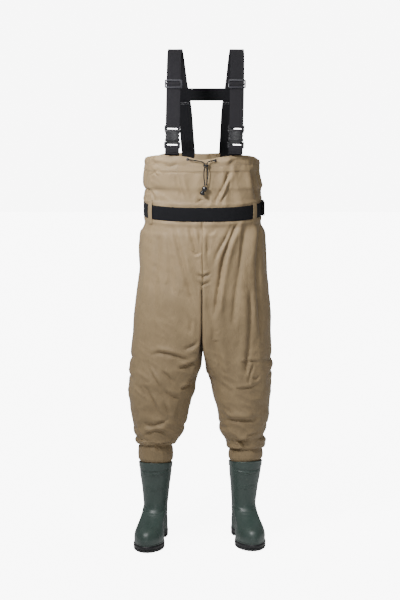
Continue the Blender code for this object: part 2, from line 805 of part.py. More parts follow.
def outline_solid(name, outlines, thickness, look, collection, matrix):
    """A plate cut from outlines in the X-Z plane: the first is its edge, the others are holes."""
    curve = bpy.data.curves.new(name, "CURVE")
    curve.dimensions = "2D"
    curve.fill_mode = "BOTH"
    curve.extrude = thickness / 2
    for outline in outlines:
        spline = curve.splines.new("POLY")
        spline.points.add(len(outline) - 1)
        for point, (x, z) in zip(spline.points, outline):
            point.co = (x, z, 0, 1)
        spline.use_cyclic_u = True
    drawn = bpy.data.objects.new(name + "_drawn", curve)
    bpy.context.scene.collection.objects.link(drawn)
    bpy.context.view_layer.update()
    graph = bpy.context.evaluated_depsgraph_get()
    mesh = bpy.data.meshes.new_from_object(drawn.evaluated_get(graph))
    bpy.data.objects.remove(drawn)
    bm = bmesh.new()
    bm.from_mesh(mesh)
    bpy.data.meshes.remove(mesh)
    bmesh.ops.remove_doubles(bm, verts=bm.verts, dist=1e-6)
    bmesh.ops.rotate(bm, verts=bm.verts, matrix=Matrix.Rotation(math.pi / 2, 3, "X"))
    obj = add_mesh(name, bm, look, collection, smooth=False)
    obj.matrix_world = matrix
    return obj


def rectangle(width, low, high, corner=0.0):
    """A rectangle about x = 0 with its corners cut at 45 degrees."""
    x = width / 2
    if not corner:
        return [(-x, low), (x, low), (x, high), (-x, high)]
    return [
        (-x + corner, low),
        (x - corner, low),
        (x, low + corner),
        (x, high - corner),
        (x - corner, high),
        (-x + corner, high),
        (-x, high - corner),
        (-x, low + corner),
    ]


def mirrored(half):
    """A closed outline from the points of its +X half, listed from the bottom up."""
    return half + [(-x, z) for x, z in reversed(half)]


def add_boolean(obj, other, operation, matrix):
    other.matrix_world = matrix
    other.hide_render = True
    other.display_type = "WIRE"
    change = obj.modifiers.new(operation.lower(), "BOOLEAN")
    change.operation = operation
    change.object = other


def build_buckle(name, matrix, looks, collection, cutters):
    """A side-release buckle, closed. Its split line is at z = 0, the socket above and the plug below."""
    wide = BUCKLE_WIDTH / 2
    bar_low = SOCKET_LENGTH - BUCKLE_FRAME
    body_high = SOCKET_LENGTH * 0.71
    slot_width = WEB_WIDTH + 2 * GAP
    slot = rectangle(slot_width, body_high, bar_low)
    edge = [
        (wide * 0.86, GAP),
        (wide * 0.93, SOCKET_LENGTH * 0.10),
        (wide * 0.80, SOCKET_LENGTH * 0.26),
        (wide * 0.80, SOCKET_LENGTH * 0.44),
        (wide * 0.95, SOCKET_LENGTH * 0.60),
        (wide, SOCKET_LENGTH * 0.74),
        (wide, SOCKET_LENGTH - 0.0020),
        (wide - 0.0020, SOCKET_LENGTH),
    ]
    socket = outline_solid(
        name + "_socket", [mirrored(edge), slot], BAR, looks["plastic"], collection, matrix
    )
    block_edge = [(x, z) for x, z in edge if z < body_high - 0.004] + [(wide * 0.93, body_high - 0.001)]
    block = outline_solid(
        name + "_block", [mirrored(block_edge)], BUCKLE_BODY, looks["plastic"], cutters, matrix
    )
    add_boolean(socket, block, "UNION", matrix)
    hollow_high = SOCKET_LENGTH * 0.56
    hollow_wide = wide * 1.5
    mouth = [(-hollow_wide / 2, -0.005), (hollow_wide / 2, -0.005), (hollow_wide / 2, SOCKET_LENGTH * 0.22)]
    mouth += [(wide * 1.1, SOCKET_LENGTH * 0.26), (wide * 1.1, SOCKET_LENGTH * 0.44)]
    mouth += [(hollow_wide / 2, SOCKET_LENGTH * 0.48), (hollow_wide / 2, hollow_high)]
    mouth += [(-x, z) for x, z in reversed(mouth[2:])]
    prong = BUCKLE_BODY * 0.50
    hollow = outline_solid(
        name + "_hollow", [mouth], prong + 2 * GAP, looks["plastic"], cutters, matrix
    )
    add_boolean(socket, hollow, "DIFFERENCE", matrix)

    base = 0.0045
    frame = rectangle(BUCKLE_WIDTH, -PLUG_LENGTH, -GAP * 2, 0.0020)
    plug_slot = rectangle(slot_width, -PLUG_LENGTH + BUCKLE_FRAME, -base)
    plug = outline_solid(name + "_plug", [frame, plug_slot], BAR, looks["plastic"], collection, matrix)
    inner = hollow_wide / 2 - GAP
    arm = 0.0055
    half = [
        (wide * 0.86, -base + GAP * 2),
        (wide * 0.86, -GAP),
        (inner, -GAP),
        (inner, SOCKET_LENGTH * 0.24),
        (wide * 0.87, SOCKET_LENGTH * 0.31),
        (wide * 0.87, SOCKET_LENGTH * 0.41),
        (inner - 0.0020, SOCKET_LENGTH * 0.46),
        (inner - arm, SOCKET_LENGTH * 0.46),
        (inner - arm, GAP),
        (0.0045, GAP),
        (0.0035, SOCKET_LENGTH * 0.50),
    ]
    prongs = outline_solid(name + "_prongs", [mirrored(half)], prong, looks["plastic"], cutters, matrix)
    add_boolean(plug, prongs, "UNION", matrix)


def build_slider(side, matrix, look, collection):
    bar = (SLIDER_LENGTH - 2 * SLIDER_SLOT) / 3
    slot_width = WEB_WIDTH + 4 * GAP
    high = SLIDER_LENGTH / 2 - bar
    outlines = [
        rectangle(SLIDER_WIDTH, -SLIDER_LENGTH / 2, SLIDER_LENGTH / 2, 0.0025),
        rectangle(slot_width, high - SLIDER_SLOT, high),
        rectangle(slot_width, -high, -high + SLIDER_SLOT),
    ]
    return outline_solid("slider_" + side, outlines, SLIDER_THICK, look, collection, matrix)


def bib_wall(z, x, back):
    """A point on the bib's outer face and its outward direction, at a height and a distance across."""
    sides = "left" if x >= SLIT_X else "right"
    half = TORSO_HALF_COLUMNS
    turns = [k / half for k in range(half + 1)]
    if back:
        turns.reverse()
    for one, two in zip(turns, turns[1:]):
        a, b = torso_point(z, one, sides), torso_point(z, two, sides)
        if min(a.x, b.x) <= x <= max(a.x, b.x):
            here = a.lerp(b, (x - a.x) / (b.x - a.x))
            rise = torso_point(z + 0.004, one, sides) - torso_point(z - 0.004, one, sides)
            outwards = (b - a).cross(rise).normalized()
            return here, outwards if (outwards.y > 0) == back else -outwards
    raise ValueError("no wall there")


def hem_edges(x, z, back):
    """Both edges of webbing sewn inside the hem."""
    depth = FABRIC + GAP * 1.6 + WEB / 2
    edges = []
    for reach in (-WEB_WIDTH / 2, WEB_WIDTH / 2):
        here, outwards = bib_wall(z, x + reach, back)
        edges.append(here - outwards * depth)
    return edges


def build_brace(side, looks, collection, cutters):
    low, high = BIB_TOP + 0.02, BUCKLE_HEIGHT + SOCKET_LENGTH
    track = flattened(brace_track(side, 0.0, 2.0), low, high)
    split = BUCKLE_HEIGHT - (SOCKET_LENGTH - PLUG_LENGTH) / 2
    split_at = track.length_at_height(split)
    buckle = track.matrix(split_at)
    build_buckle("buckle_" + side, buckle, looks, collection, cutters)

    slider_at = track.length_at_height(SLIDER_HEIGHT)
    slider = track.matrix(slider_at)
    slider_track = Track([slider @ Vector((0, 0, -0.05)), slider @ Vector((0, 0, 0.05))], track.across)
    build_slider(side, slider, looks["slider"], collection)

    # Lower strap: sewn inside the hem, up through the plug's bar and back down behind itself
    bar_at = split_at - PLUG_BAR
    x = track.frame(0.0)[0].x
    rows = [hem_edges(x, z, False) for z in (BIB_TOP - HEM_OVERLAP, BIB_TOP - HEM_DEPTH * 0.45)]
    rows.append(hem_edges(x, BIB_TOP + RIM_RISE, False))
    rows.append(track.edges(bar_at - 0.018, LOOP_RADIUS * 0.6, WEB_WIDTH))
    for along, out in web_loop(LOOP_RADIUS):
        rows.append(track.edges(bar_at + along, out, WEB_WIDTH))
    rows.append(track.edges(bar_at - 0.018, LOOP_RADIUS * 0.6 - LAYER, WEB_WIDTH))
    rows.append(track.edges(bar_at - 0.024, LOOP_RADIUS * 0.6 - LAYER, WEB_WIDTH))
    ribbon("brace_lower_" + side, rows, looks["webbing"], collection)

    # Front strap: from behind the slider, down round the socket's bar, up through the slider and over
    bar_at = split_at + SOCKET_BAR
    clear = SLIDER_THICK / 2 + GAP + WEB / 2
    top = SLIDER_LENGTH / 2
    rows = [track.edges(slider_at, -clear - LAYER, WEB_WIDTH)]
    rows.append(track.edges(slider_at - top - 0.010, -clear - LAYER, WEB_WIDTH))
    rows.append(track.edges(bar_at + 0.030, LOOP_RADIUS * 0.4 - LAYER, WEB_WIDTH))
    for along, out in reversed(web_loop(LOOP_RADIUS)):
        rows.append(track.edges(bar_at - along, out, WEB_WIDTH))
    rows.append(track.edges(bar_at + 0.030, LOOP_RADIUS * 0.4, WEB_WIDTH))
    rows.append(track.edges(slider_at - top - 0.010, -clear, WEB_WIDTH))
    weave = [(-0.0100, -clear), (-0.0032, clear), (0.0032, clear), (0.0100, -clear)]
    rows += [slider_track.edges(0.05 + along, out, WEB_WIDTH) for along, out in weave]
    rows.append(slider_track.edges(0.05 + top + 0.003, -clear, WEB_WIDTH))
    over = np.linspace(slider_at + top + 0.03, track.lengths[-1], 40)
    seam = CROSSBAR_HEIGHT - CROSSBAR_WIDTH / 2 - 0.012
    shoulder_y = brace_track(side, 1.0, 2.0).points[0].y
    for length in over:
        place = track.frame(length)[0]
        if place.y > shoulder_y and place.z < seam:
            break
        rows.append(track.edges(length, 0.0, WEB_WIDTH))
        seam_at = length
    ribbon("brace_front_" + side, rows, looks["webbing"], collection)

    # Back strap: sewn under the end of the front strap and inside the back hem
    rows = []
    x = track.points[-1].x
    for length in np.linspace(seam_at - 0.045, track.lengths[-1] - 0.045, 9):
        rows.append(track.edges(length, -LAYER, WEB_WIDTH))
    rows.append(hem_edges(x, BIB_TOP + RIM_RISE / 2, True))
    rows += [hem_edges(x, z, True) for z in (BIB_TOP - HEM_DEPTH * 0.45, BIB_TOP - HEM_OVERLAP)]
    ribbon("brace_back_" + side, rows, looks["elastic"], collection)
    return track


def build_crossbar(tracks, look, collection):
    """The bar between the back straps, lying on their inner faces, towards the wearer."""
    lines = []
    for z in (CROSSBAR_HEIGHT - CROSSBAR_WIDTH / 2, CROSSBAR_HEIGHT + CROSSBAR_WIDTH / 2):
        ends = []
        for side in ("right", "left"):
            track = tracks[side]
            half = [i for i, p in enumerate(track.points) if p.y > BODY_Y and p.z < z][0]
            a, b = track.points[half - 1], track.points[half]
            place = a.lerp(b, (z - a.z) / (b.z - a.z))
            inwards = LAYER * 2 + GAP
            reach = SIDES[side] * WEB_WIDTH * 0.42
            ends.append(place + Vector((reach, -inwards, 0)))
        lines.append(ends)
    (low_right, low_left), (high_right, high_left) = lines
    rows = [
        (low_right.lerp(low_left, share), high_right.lerp(high_left, share)) for share in (0, 0.2, 0.5, 0.8, 1)
    ]
    ribbon("brace_crossbar", rows, look, collection)


# The belt and its loops


def offset_ring(points, distance):
    """A level ring moved outwards by a distance, facet by facet."""
    flat = [Vector((p.x, p.y)) for p in points]
    moved = []
    for k, here in enumerate(flat):
        before, after = flat[k - 1], flat[(k + 1) % len(flat)]
        one, two = (here - before).normalized(), (after - here).normalized()
        out_one, out_two = Vector((one.y, -one.x)), Vector((two.y, -two.x))
        middle = (out_one + out_two).normalized()
        reach = here + middle * distance / middle.dot(out_one)
        moved.append(Vector((reach.x, reach.y, points[k].z)))
    return moved


def build_belt(looks, collection, cutters):
    half = TORSO_HALF_COLUMNS
    shell = torso_ring(BELT_HEIGHT)
    a, b = shell[half // 2], shell[half // 2 + 1]
    along = (a - b).normalized()
    across = Vector((0, 0, 1))
    outwards = across.cross(along)
    if outwards.x < 0:
        outwards = -outwards
    middle = (a + b) / 2 + outwards * (GAP * 2 + WEB + LAYER / 2 + LOOP_RADIUS)
    half_track = 2 * SOCKET_LENGTH
    track = Track([middle - along * half_track, middle + along * half_track], across)
    split_at = half_track - (SOCKET_LENGTH - PLUG_LENGTH) / 2
    build_buckle("belt_buckle", track.matrix(split_at), looks, collection, cutters)
    facing = 1 if track.frame(0)[3].dot(outwards) > 0 else -1

    def rows_at(length, out):
        return track.edges(length, out * facing, BELT_WIDTH)

    def end_rows(bar_at, way):
        """One end of the belt: its tail, the turn round the buckle's bar, and the run back to the waist."""
        looped = [rows_at(bar_at - way * along, -out) for along, out in web_loop(LOOP_RADIUS)]
        tail = [(0.030, LOOP_RADIUS * 0.4), (0.020, LOOP_RADIUS * 0.5)]
        tail = [rows_at(bar_at + way * past, out) for past, out in tail]
        return tail + looped[::-1] + [rows_at(bar_at + way * 0.010, -LOOP_RADIUS)]

    ring = offset_ring(shell, GAP + WEB / 2)
    reach = SOCKET_LENGTH * 0.9
    for k, point in enumerate(ring):
        point.z -= BELT_DIP * math.cos(math.pi * k / half)
    order = ring[half // 2 + 1 :] + ring[: half // 2 + 1]
    kept = [p for p in order if (p - middle).length > reach]
    up = Vector((0, 0, BELT_WIDTH / 2))
    rows = [(p - up, p + up) for p in kept]
    rows = end_rows(split_at - PLUG_BAR, -1) + rows + end_rows(split_at + SOCKET_BAR, 1)[::-1]
    ribbon("belt", rows, looks["webbing"], collection)


def build_belt_loop(name, side, column, look, collection):
    """A loop of cloth over the belt, on the flat between two columns of the torso."""
    half = TORSO_HALF_COLUMNS
    outer = WEB + GAP * 3 + FABRIC / 2
    near = GAP + FABRIC / 2
    belt = BELT_WIDTH / 2
    shape = [
        (belt + LOOP_REACH * 0.95, near),
        (belt + LOOP_REACH * 0.45, near),
        (belt + 0.0015, outer),
        (0.0, outer),
        (-belt - 0.0015, outer),
        (-belt - LOOP_REACH * 0.45, near),
        (-belt - LOOP_REACH * 0.95, near),
    ]
    rows = []
    dip = BELT_DIP * math.cos(math.pi * (column + 0.5) / half)
    for rise, out in shape:
        z = BELT_HEIGHT - dip + rise
        a = torso_point(z, column / half, side)
        b = torso_point(z, (column + 1) / half, side)
        tangent = (b - a).normalized()
        outwards = Vector((tangent.y, -tangent.x, 0)) * SIDES[side]
        centre = (a + b) / 2 + outwards * out
        rows.append((centre - tangent * LOOP_WIDTH / 2, centre + tangent * LOOP_WIDTH / 2))
    ribbon(name, rows, look, collection, FABRIC)


# The drawcord


def turned(name, profile, segments, matrix, look, collection):
    """A closed profile of (radius, height) points turned about Z."""
    bm = bmesh.new()
    rings = []
    for radius, height in profile:
        if radius == 0:
            rings.append([bm.verts.new((0, 0, height))])
            continue
        ring = []
        for k in range(segments):
            angle = 2 * math.pi * k / segments
            ring.append(bm.verts.new((radius * math.cos(angle), radius * math.sin(angle), height)))
        rings.append(ring)
    closed = profile[0][0] > 0
    pairs = list(zip(rings, rings[1:])) + ([(rings[-1], rings[0])] if closed else [])
    for lower, upper in pairs:
        if len(lower) == 1 or len(upper) == 1:
            tip, ring = (lower[0], upper) if len(lower) == 1 else (upper[0], lower)
            for k in range(segments):
                bm.faces.new((tip, ring[k], ring[(k + 1) % segments]))
        else:
            ring_faces(bm, lower, upper)
    obj = add_mesh(name, bm, look, collection)
    obj.matrix_world = matrix
    return obj


def passing(points, z):
    """Where a line of points first comes down through a height."""
    for a, b in zip(points, points[1:]):
        if a[2] >= z >= b[2] and a[2] != b[2]:
            return Vector(a).lerp(Vector(b), (a[2] - z) / (a[2] - b[2]))
    raise ValueError("the line doesn't pass that height")


def build_drawcord(looks, collection):
    for side, route in STRANDS.items():
        x, z = EYELETS[side]
        wall, outwards = bib_wall(z, x, False)
        points = [wall + outwards * out for out in (GAP * 3, 0.0050, 0.0085)] + route
        curve = bpy.data.curves.new("drawcord_" + side, "CURVE")
        curve.dimensions = "3D"
        curve.bevel_depth = CORD / 2
        curve.bevel_resolution = 2
        curve.use_fill_caps = True
        spline = curve.splines.new("POLY")
        spline.points.add(len(points) - 1)
        for point, place in zip(spline.points, points):
            point.co = (*place, 1)
        strand = bpy.data.objects.new("drawcord_" + side, curve)
        curve.materials.append(looks["cord"])
        collection.objects.link(strand)

        profile = [
            (EYELET_HOLE, 0.0),
            (EYELET_RADIUS, 0.0),
            (EYELET_RADIUS - 0.0008, EYELET_THICK),
            (EYELET_HOLE + 0.0006, EYELET_THICK),
        ]
        turn = outwards.to_track_quat("Z", "Y").to_matrix().to_4x4()
        facing = Matrix.Translation(wall + outwards * GAP) @ turn
        turned("eyelet_" + side, profile, 14, facing, looks["metal"], collection)

    ends = [Vector(points[-1]) for points in STRANDS.values()]
    tip = (ends[0] + ends[1]) / 2
    tilt = Matrix.Rotation(math.radians(180 + TOGGLE_TILT), 4, "Y")
    r, length = TOGGLE_RADIUS, TOGGLE_LENGTH
    profile = [
        (0.0, 0.0),
        (r * 0.62, 0.0),
        (r * 0.95, length * 0.12),
        (r, length * 0.32),
        (r * 0.72, length * 0.50),
        (r * 0.78, length * 0.62),
        (r, length * 0.76),
        (r * 0.70, length * 0.95),
        (0.0, length),
    ]
    lowered = tip - Vector((0, 0, CORD * 0.75))
    turned("toggle", profile, 12, Matrix.Translation(lowered) @ tilt, looks["toggle"], collection)

    one, two = (passing(points, BEAD_HEIGHT) for points in STRANDS.values())
    crossing = (one + two) / 2
    hole_x = abs(one.x - two.x) / 2 + CORD / 2 + 5 * GAP
    hole_y = CORD / 2 + 4 * GAP
    steps = 16
    inner, outer = [], []
    for k in range(steps):
        angle = 2 * math.pi * k / steps
        across, deep = math.cos(angle), math.sin(angle)
        inner.append((hole_x * bulged(across, 3), hole_y * bulged(deep, 3)))
        outer.append(((hole_x + BEAD_WALL) * across, (hole_y + BEAD_WALL) * bulged(deep, 2.6)))
    bm = bmesh.new()
    low, high = -BEAD_LENGTH / 2, BEAD_LENGTH / 2
    levels = ((inner, low), (outer, low), (outer, high), (inner, high))
    rings = [[bm.verts.new((x, y, z)) for x, y in ring] for ring, z in levels]
    for lower, upper in zip(rings, rings[1:] + rings[:1]):
        ring_faces(bm, lower, upper)
    bead = add_mesh("cord_bead", bm, looks["toggle"], collection)
    bead.matrix_world = Matrix.Translation(crossing)


def main():
    clear_scene()
    collection = new_collection("chest_waders")
    cutters = new_collection("cutters")
    looks = {
        "fabric": material("tan_coated_cloth", (0.290, 0.235, 0.160), 0.62),
        "loop": material("tan_tape", (0.275, 0.222, 0.150), 0.70),
        "boot": material("green_boot_rubber", (0.060, 0.085, 0.070), 0.35),
        "sole": material("black_sole_rubber", (0.014, 0.014, 0.015), 0.55),
        "insole": material("grey_insole_felt", (0.120, 0.120, 0.120), 0.90),
        "webbing": material("charcoal_webbing", (0.030, 0.029, 0.033), 0.75),
        "elastic": material("black_elastic_webbing", (0.016, 0.016, 0.019), 0.80),
        "plastic": material("black_buckle_plastic", (0.012, 0.012, 0.014), 0.35),
        "slider": material("slate_slider_plastic", (0.045, 0.045, 0.055), 0.35),
        "cord": material("black_cord", (0.012, 0.012, 0.012), 0.70),
        "toggle": material("black_toggle_plastic", (0.012, 0.012, 0.013), 0.30),
        "metal": material("black_eyelet_metal", (0.030, 0.030, 0.032), 0.35, 0.8),
    }
    build_shell(looks["fabric"], collection)
    for side in SIDES:
        build_boot(side, looks["boot"], collection)
        build_sole(side, looks, collection, cutters)
    tracks = {side: build_brace(side, looks, collection, cutters) for side in SIDES}
    build_crossbar(tracks, looks["elastic"], collection)
    build_belt(looks, collection, cutters)
    for side in SIDES:
        build_belt_loop("belt_loop_front_" + side, side, 4, looks["loop"], collection)
        build_belt_loop("belt_loop_back_" + side, side, 10, looks["loop"], collection)
    build_drawcord(looks, collection)


main()
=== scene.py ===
"""The looks of the chest waders: cloth, boots, soles, webbing, fittings and the drawcord, in metres.

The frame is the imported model. The wearer faces -Y, and the wearer's left is +X.
"""

import math
from contextlib import contextmanager

import bmesh
import bpy
import numpy as np
from mathutils import Matrix, Vector, noise
from mathutils.bvhtree import BVHTree


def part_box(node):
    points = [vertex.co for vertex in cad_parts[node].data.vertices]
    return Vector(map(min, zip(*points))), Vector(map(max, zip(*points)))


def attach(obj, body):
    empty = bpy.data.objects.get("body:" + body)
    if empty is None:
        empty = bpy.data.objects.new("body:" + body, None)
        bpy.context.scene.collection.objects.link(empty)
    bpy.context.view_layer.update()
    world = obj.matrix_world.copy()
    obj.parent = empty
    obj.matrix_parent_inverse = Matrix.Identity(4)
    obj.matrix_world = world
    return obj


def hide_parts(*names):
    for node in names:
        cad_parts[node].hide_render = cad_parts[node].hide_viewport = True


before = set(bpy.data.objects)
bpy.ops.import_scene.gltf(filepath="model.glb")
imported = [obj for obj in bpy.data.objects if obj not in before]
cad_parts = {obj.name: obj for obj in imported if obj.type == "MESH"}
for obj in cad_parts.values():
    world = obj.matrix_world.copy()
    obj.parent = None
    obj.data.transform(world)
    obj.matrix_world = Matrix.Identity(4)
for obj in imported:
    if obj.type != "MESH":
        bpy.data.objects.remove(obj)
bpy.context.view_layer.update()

# Garment, as in the part
BIB_TOP = 1.428
CROTCH = 0.972
CROTCH_SAG = 0.034
HIP_WIDTH = 0.530
HIP_DEPTH = 0.300
BODY_Y = 0.030
SLIT_X = 0.0065
THIGH_GAP = 0.0040
FABRIC = 0.0012
HEM_DEPTH = 0.050
CUFF_TUCK = 0.030
KNEE_FORWARD = 0.008

# Boots
BOOT_HEIGHT = 0.293
BOOT_WALL = 0.0025
RIM_WIDTH = 0.120
RIM_DEPTH = 0.132
COLLAR_HEIGHT = 0.018
SOLE_LENGTH = 0.305
BALL_WIDTH = 0.116
HEEL_BEHIND = 0.084
TOE_CAP = 0.062
RIM_SLOPE = 0.030
# Each boot's place: x as a share of half the hip width and y of the hip depth, its toes' turn outwards in
# degrees, and how far its rim leans outwards in metres
BOOT_PLACES = {"left": (0.6038, 0.1667, 9.5, 0.0080), "right": (-0.6264, 0.0933, 9.0, 0.0)}

# Soles
TOE_SPRING = 0.0045
HEEL_LENGTH = 0.076
ARCH_LENGTH = 0.044
ARCH_HEIGHT = 0.013
LUG_DEPTH = 0.0050
LUG_PITCH = 0.0155
LUG_GROOVE = 0.0050
LUG_SWEEP = 0.0100

# Webbing
WEB_WIDTH = 0.050
WEB = 0.0015
CROSSBAR_WIDTH = 0.046
BELT_WIDTH = 0.050
BELT_DROP = 0.189
BELT_HEIGHT = BIB_TOP - BELT_DROP
BELT_DIP = 0.0130
BRACE_TOP = 1.810
BUCKLE_HEIGHT = 1.504
SLIDER_HEIGHT = 1.689
CROSSBAR_HEIGHT = 1.645
HEM_OVERLAP = 0.044
RIM_RISE = 0.0110
LOOP_WIDTH = 0.026
LOOP_REACH = 0.020

# Buckles and sliders
SOCKET_LENGTH = 0.058
PLUG_LENGTH = 0.0235
BUCKLE_WIDTH = 0.058
BUCKLE_FRAME = 0.0075
SLIDER_LENGTH = 0.0310
SLIDER_THICK = 0.0035
BAR = 0.0030

# Drawcord
CORD = 0.0040
EYELET_RADIUS = 0.0052
EYELET_HOLE = 0.0024
EYELET_THICK = 0.0016
TOGGLE_RADIUS = 0.0095
TOGGLE_LENGTH = 0.0340
TOGGLE_TILT = 26.0

GAP = 0.0003
CURVED_GAP = 0.0009

# Fineness of the meshes
ROW = 0.0040
TORSO_COLUMNS = 148
INNER_COLUMNS = 30
BOOT_COLUMNS = 160
BOOT_ROWS = 270

SIDES = {"left": 1, "right": -1}


class Table:
    """Rows of numbers under named columns, read smoothly at any values of the first column."""

    def __init__(self, names, rows):
        self.names = names.split()
        self.rows = np.array(rows, float)

    def at(self, where):
        keys = self.rows[:, 0]
        where = np.clip(np.asarray(where, float), keys[0], keys[-1])
        i = np.clip(np.searchsorted(keys, where, side="right") - 1, 0, len(keys) - 2)
        before, after = np.maximum(i - 1, 0), np.minimum(i + 2, len(keys) - 1)
        span = (keys[i + 1] - keys[i])[..., None]
        t = (where - keys[i])[..., None] / span
        start, end = self.rows[i], self.rows[i + 1]
        leave = (end - self.rows[before]) / (keys[i + 1] - keys[before])[..., None] * span
        arrive = (self.rows[after] - start) / (keys[after] - keys[i])[..., None] * span
        value = (
            (2 * t**3 - 3 * t**2 + 1) * start
            + (t**3 - 2 * t**2 + t) * leave
            + (3 * t**2 - 2 * t**3) * end
            + (t**3 - t**2) * arrive
        )
        return dict(zip(self.names, np.moveaxis(value, -1, 0)))


# Half widths are shares of half the hip width and depths are shares of the hip depth.
# "up" is the share of the way from the crotch to the rim of the bib.
TORSO = Table(
    "up right left front back square",
    [
        (0.000, 0.858, 0.932, 0.480, 0.500, 2.40),
        (0.092, 0.842, 0.913, 0.478, 0.502, 2.35),
        (0.222, 0.842, 0.898, 0.470, 0.498, 2.30),
        (0.349, 0.834, 0.887, 0.458, 0.484, 2.30),
        (0.414, 0.826, 0.879, 0.450, 0.470, 2.30),
        (0.478, 0.800, 0.864, 0.436, 0.448, 2.35),
        (0.568, 0.778, 0.832, 0.424, 0.430, 2.45),
        (0.669, 0.745, 0.825, 0.432, 0.430, 2.45),
        (0.732, 0.770, 0.840, 0.442, 0.434, 2.50),
        (0.796, 0.781, 0.828, 0.446, 0.432, 2.55),
        (0.860, 0.781, 0.806, 0.448, 0.428, 2.55),
        (0.923, 0.766, 0.802, 0.444, 0.420, 2.55),
        (1.000, 0.743, 0.792, 0.436, 0.412, 2.50),
    ],
)

# How far the rim of the bib rises above its named height, by the share of the way from front to back.
RIM = Table(
    "turn right left",
    [
        (0.000, -0.0080, -0.0080),
        (0.071, 0.0040, 0.0010),
        (0.143, 0.0075, 0.0065),
        (0.214, 0.0080, 0.0075),
        (0.286, 0.0060, 0.0050),
        (0.360, 0.0015, -0.0010),
        (0.500, -0.0075, -0.0165),
        (0.700, -0.0070, -0.0110),
        (0.840, 0.0010, 0.0010),
        (1.000, -0.0030, -0.0030),
    ],
)

# Where a leg's gathered end starts, as a share of the way from the crotch down to the boot's rim
LEG_END = 0.858

# "fall" is the share of the way from the crotch down to the boot's rim. "inner" is measured from the
# slit between the legs, and "round" turns the half of the torso, 0, into a tube of its own, 1.
LEG = Table(
    "fall outer_right outer_left inner_right inner_left front back round",
    [
        (0.000, 0.858, 0.932, 0.000, 0.000, 0.480, 0.500, 0.00),
        (0.068, 0.887, 0.943, 0.000, 0.000, 0.484, 0.498, 0.00),
        (0.112, 0.902, 0.958, 0.000, 0.000, 0.478, 0.492, 0.00),
        (0.199, 0.928, 0.974, 0.000, 0.000, 0.462, 0.474, 0.00),
        (0.286, 0.943, 0.974, 0.000, 0.000, 0.442, 0.452, 0.06),
        (0.373, 0.966, 0.990, 0.000, 0.010, 0.420, 0.426, 0.30),
        (0.461, 0.974, 0.992, 0.008, 0.040, 0.396, 0.398, 0.72),
        (0.505, 0.989, 1.007, 0.043, 0.055, 0.386, 0.384, 0.92),
        (0.549, 0.989, 0.992, 0.070, 0.096, 0.374, 0.370, 1.00),
        (0.594, 1.002, 0.992, 0.085, 0.123, 0.362, 0.356, 1.00),
        (0.638, 0.992, 0.981, 0.126, 0.149, 0.350, 0.344, 1.00),
        (0.682, 0.977, 0.966, 0.157, 0.179, 0.338, 0.332, 1.00),
        (0.726, 0.966, 0.966, 0.183, 0.206, 0.326, 0.320, 1.00),
        (0.770, 0.951, 0.955, 0.209, 0.221, 0.312, 0.308, 1.00),
        (0.816, 0.940, 0.913, 0.255, 0.236, 0.296, 0.294, 1.00),
        (LEG_END, 0.900, 0.875, 0.306, 0.289, 0.272, 0.272, 1.00),
    ],
)

# The gathered end of the leg, from the last row above to the boot: height over the boot's rim, and how
# far it stands out from the rim's outline. The puff of the leg hangs a little over the crease.
CUFF = {
    "right": Table(
        "share height growth",
        [
            (0.00, 0.0830, 0.0185),
            (0.14, 0.0745, 0.0150),
            (0.24, 0.0700, 0.0105),
            (0.34, 0.0702, 0.0030),
            (0.46, 0.0640, 0.0022),
            (0.62, 0.0540, 0.0046),
            (0.82, 0.0330, 0.0052),
            (1.00, 0.0110, 0.0036),
        ],
    ),
    "left": Table(
        "share height growth",
        [
            (0.00, 0.0790, 0.0150),
            (0.18, 0.0670, 0.0128),
            (0.34, 0.0560, 0.0112),
            (0.48, 0.0490, 0.0066),
            (0.58, 0.0480, 0.0010),
            (0.70, 0.0400, 0.0016),
            (0.84, 0.0270, 0.0040),
            (1.00, 0.0110, 0.0030),
        ],
    ),
}


# Smooth helpers


def mixed(a, b, share):
    return a + (b - a) * share


def eased(low, high, value):
    """0 below low, 1 above high, and smooth between."""
    t = np.clip((value - low) / (high - low), 0.0, 1.0)
    return t * t * (3 - 2 * t)


def peaked(off, width):
    """A smooth bump: 1 where off is 0, and next to nothing beyond twice the width."""
    return np.exp(-((off / width) ** 2))


def bulged(value, square):
    """A sine or cosine pushed out towards a rounded square: 2 leaves the ellipse."""
    return np.sign(value) * np.abs(value) ** (2 / square)


def ripple(points, scale, seed):
    """Smooth seeded noise at points, with its own scale on each axis, in metres."""
    scaled = np.asarray(points) / np.asarray(scale) + seed
    return np.array([noise.noise(Vector(p)) for p in scaled])


def placed(name, data):
    """A new object in the scene that shows a mesh, a light or a camera."""
    obj = bpy.data.objects.new(name, data)
    bpy.context.scene.collection.objects.link(obj)
    return obj


@contextmanager
def editing(mesh):
    """A mesh's editable form, written back at the end."""
    bm = bmesh.new()
    bm.from_mesh(mesh)
    yield bm
    bm.to_mesh(mesh)
    bm.free()


def grid_mesh(name, points, faces, uvs=None):
    """An object from rows of points and a list of faces, with UVs per point in metres."""
    mesh = bpy.data.meshes.new(name)
    mesh.from_pydata(np.asarray(points, float).reshape(-1, 3).tolist(), [], faces)
    if uvs is not None:
        layer = mesh.uv_layers.new(name="metres")
        corners = np.empty(len(mesh.loops), np.int32)
        mesh.loops.foreach_get("vertex_index", corners)
        layer.data.foreach_set("uv", np.asarray(uvs, np.float32).reshape(-1, 2)[corners].ravel())
    mesh.shade_smooth()
    return placed(name, mesh)


def grid_faces(rows, columns, closed, flip=False):
    """Quads of a grid of rows by columns, joined round where closed."""
    faces = []
    for i in range(rows - 1):
        for k in range(columns if closed else columns - 1):
            after = (k + 1) % columns
            a, b = i * columns + k, i * columns + after
            quad = (a, b, b + columns, a + columns)
            faces.append(quad[::-1] if flip else quad)
    return faces


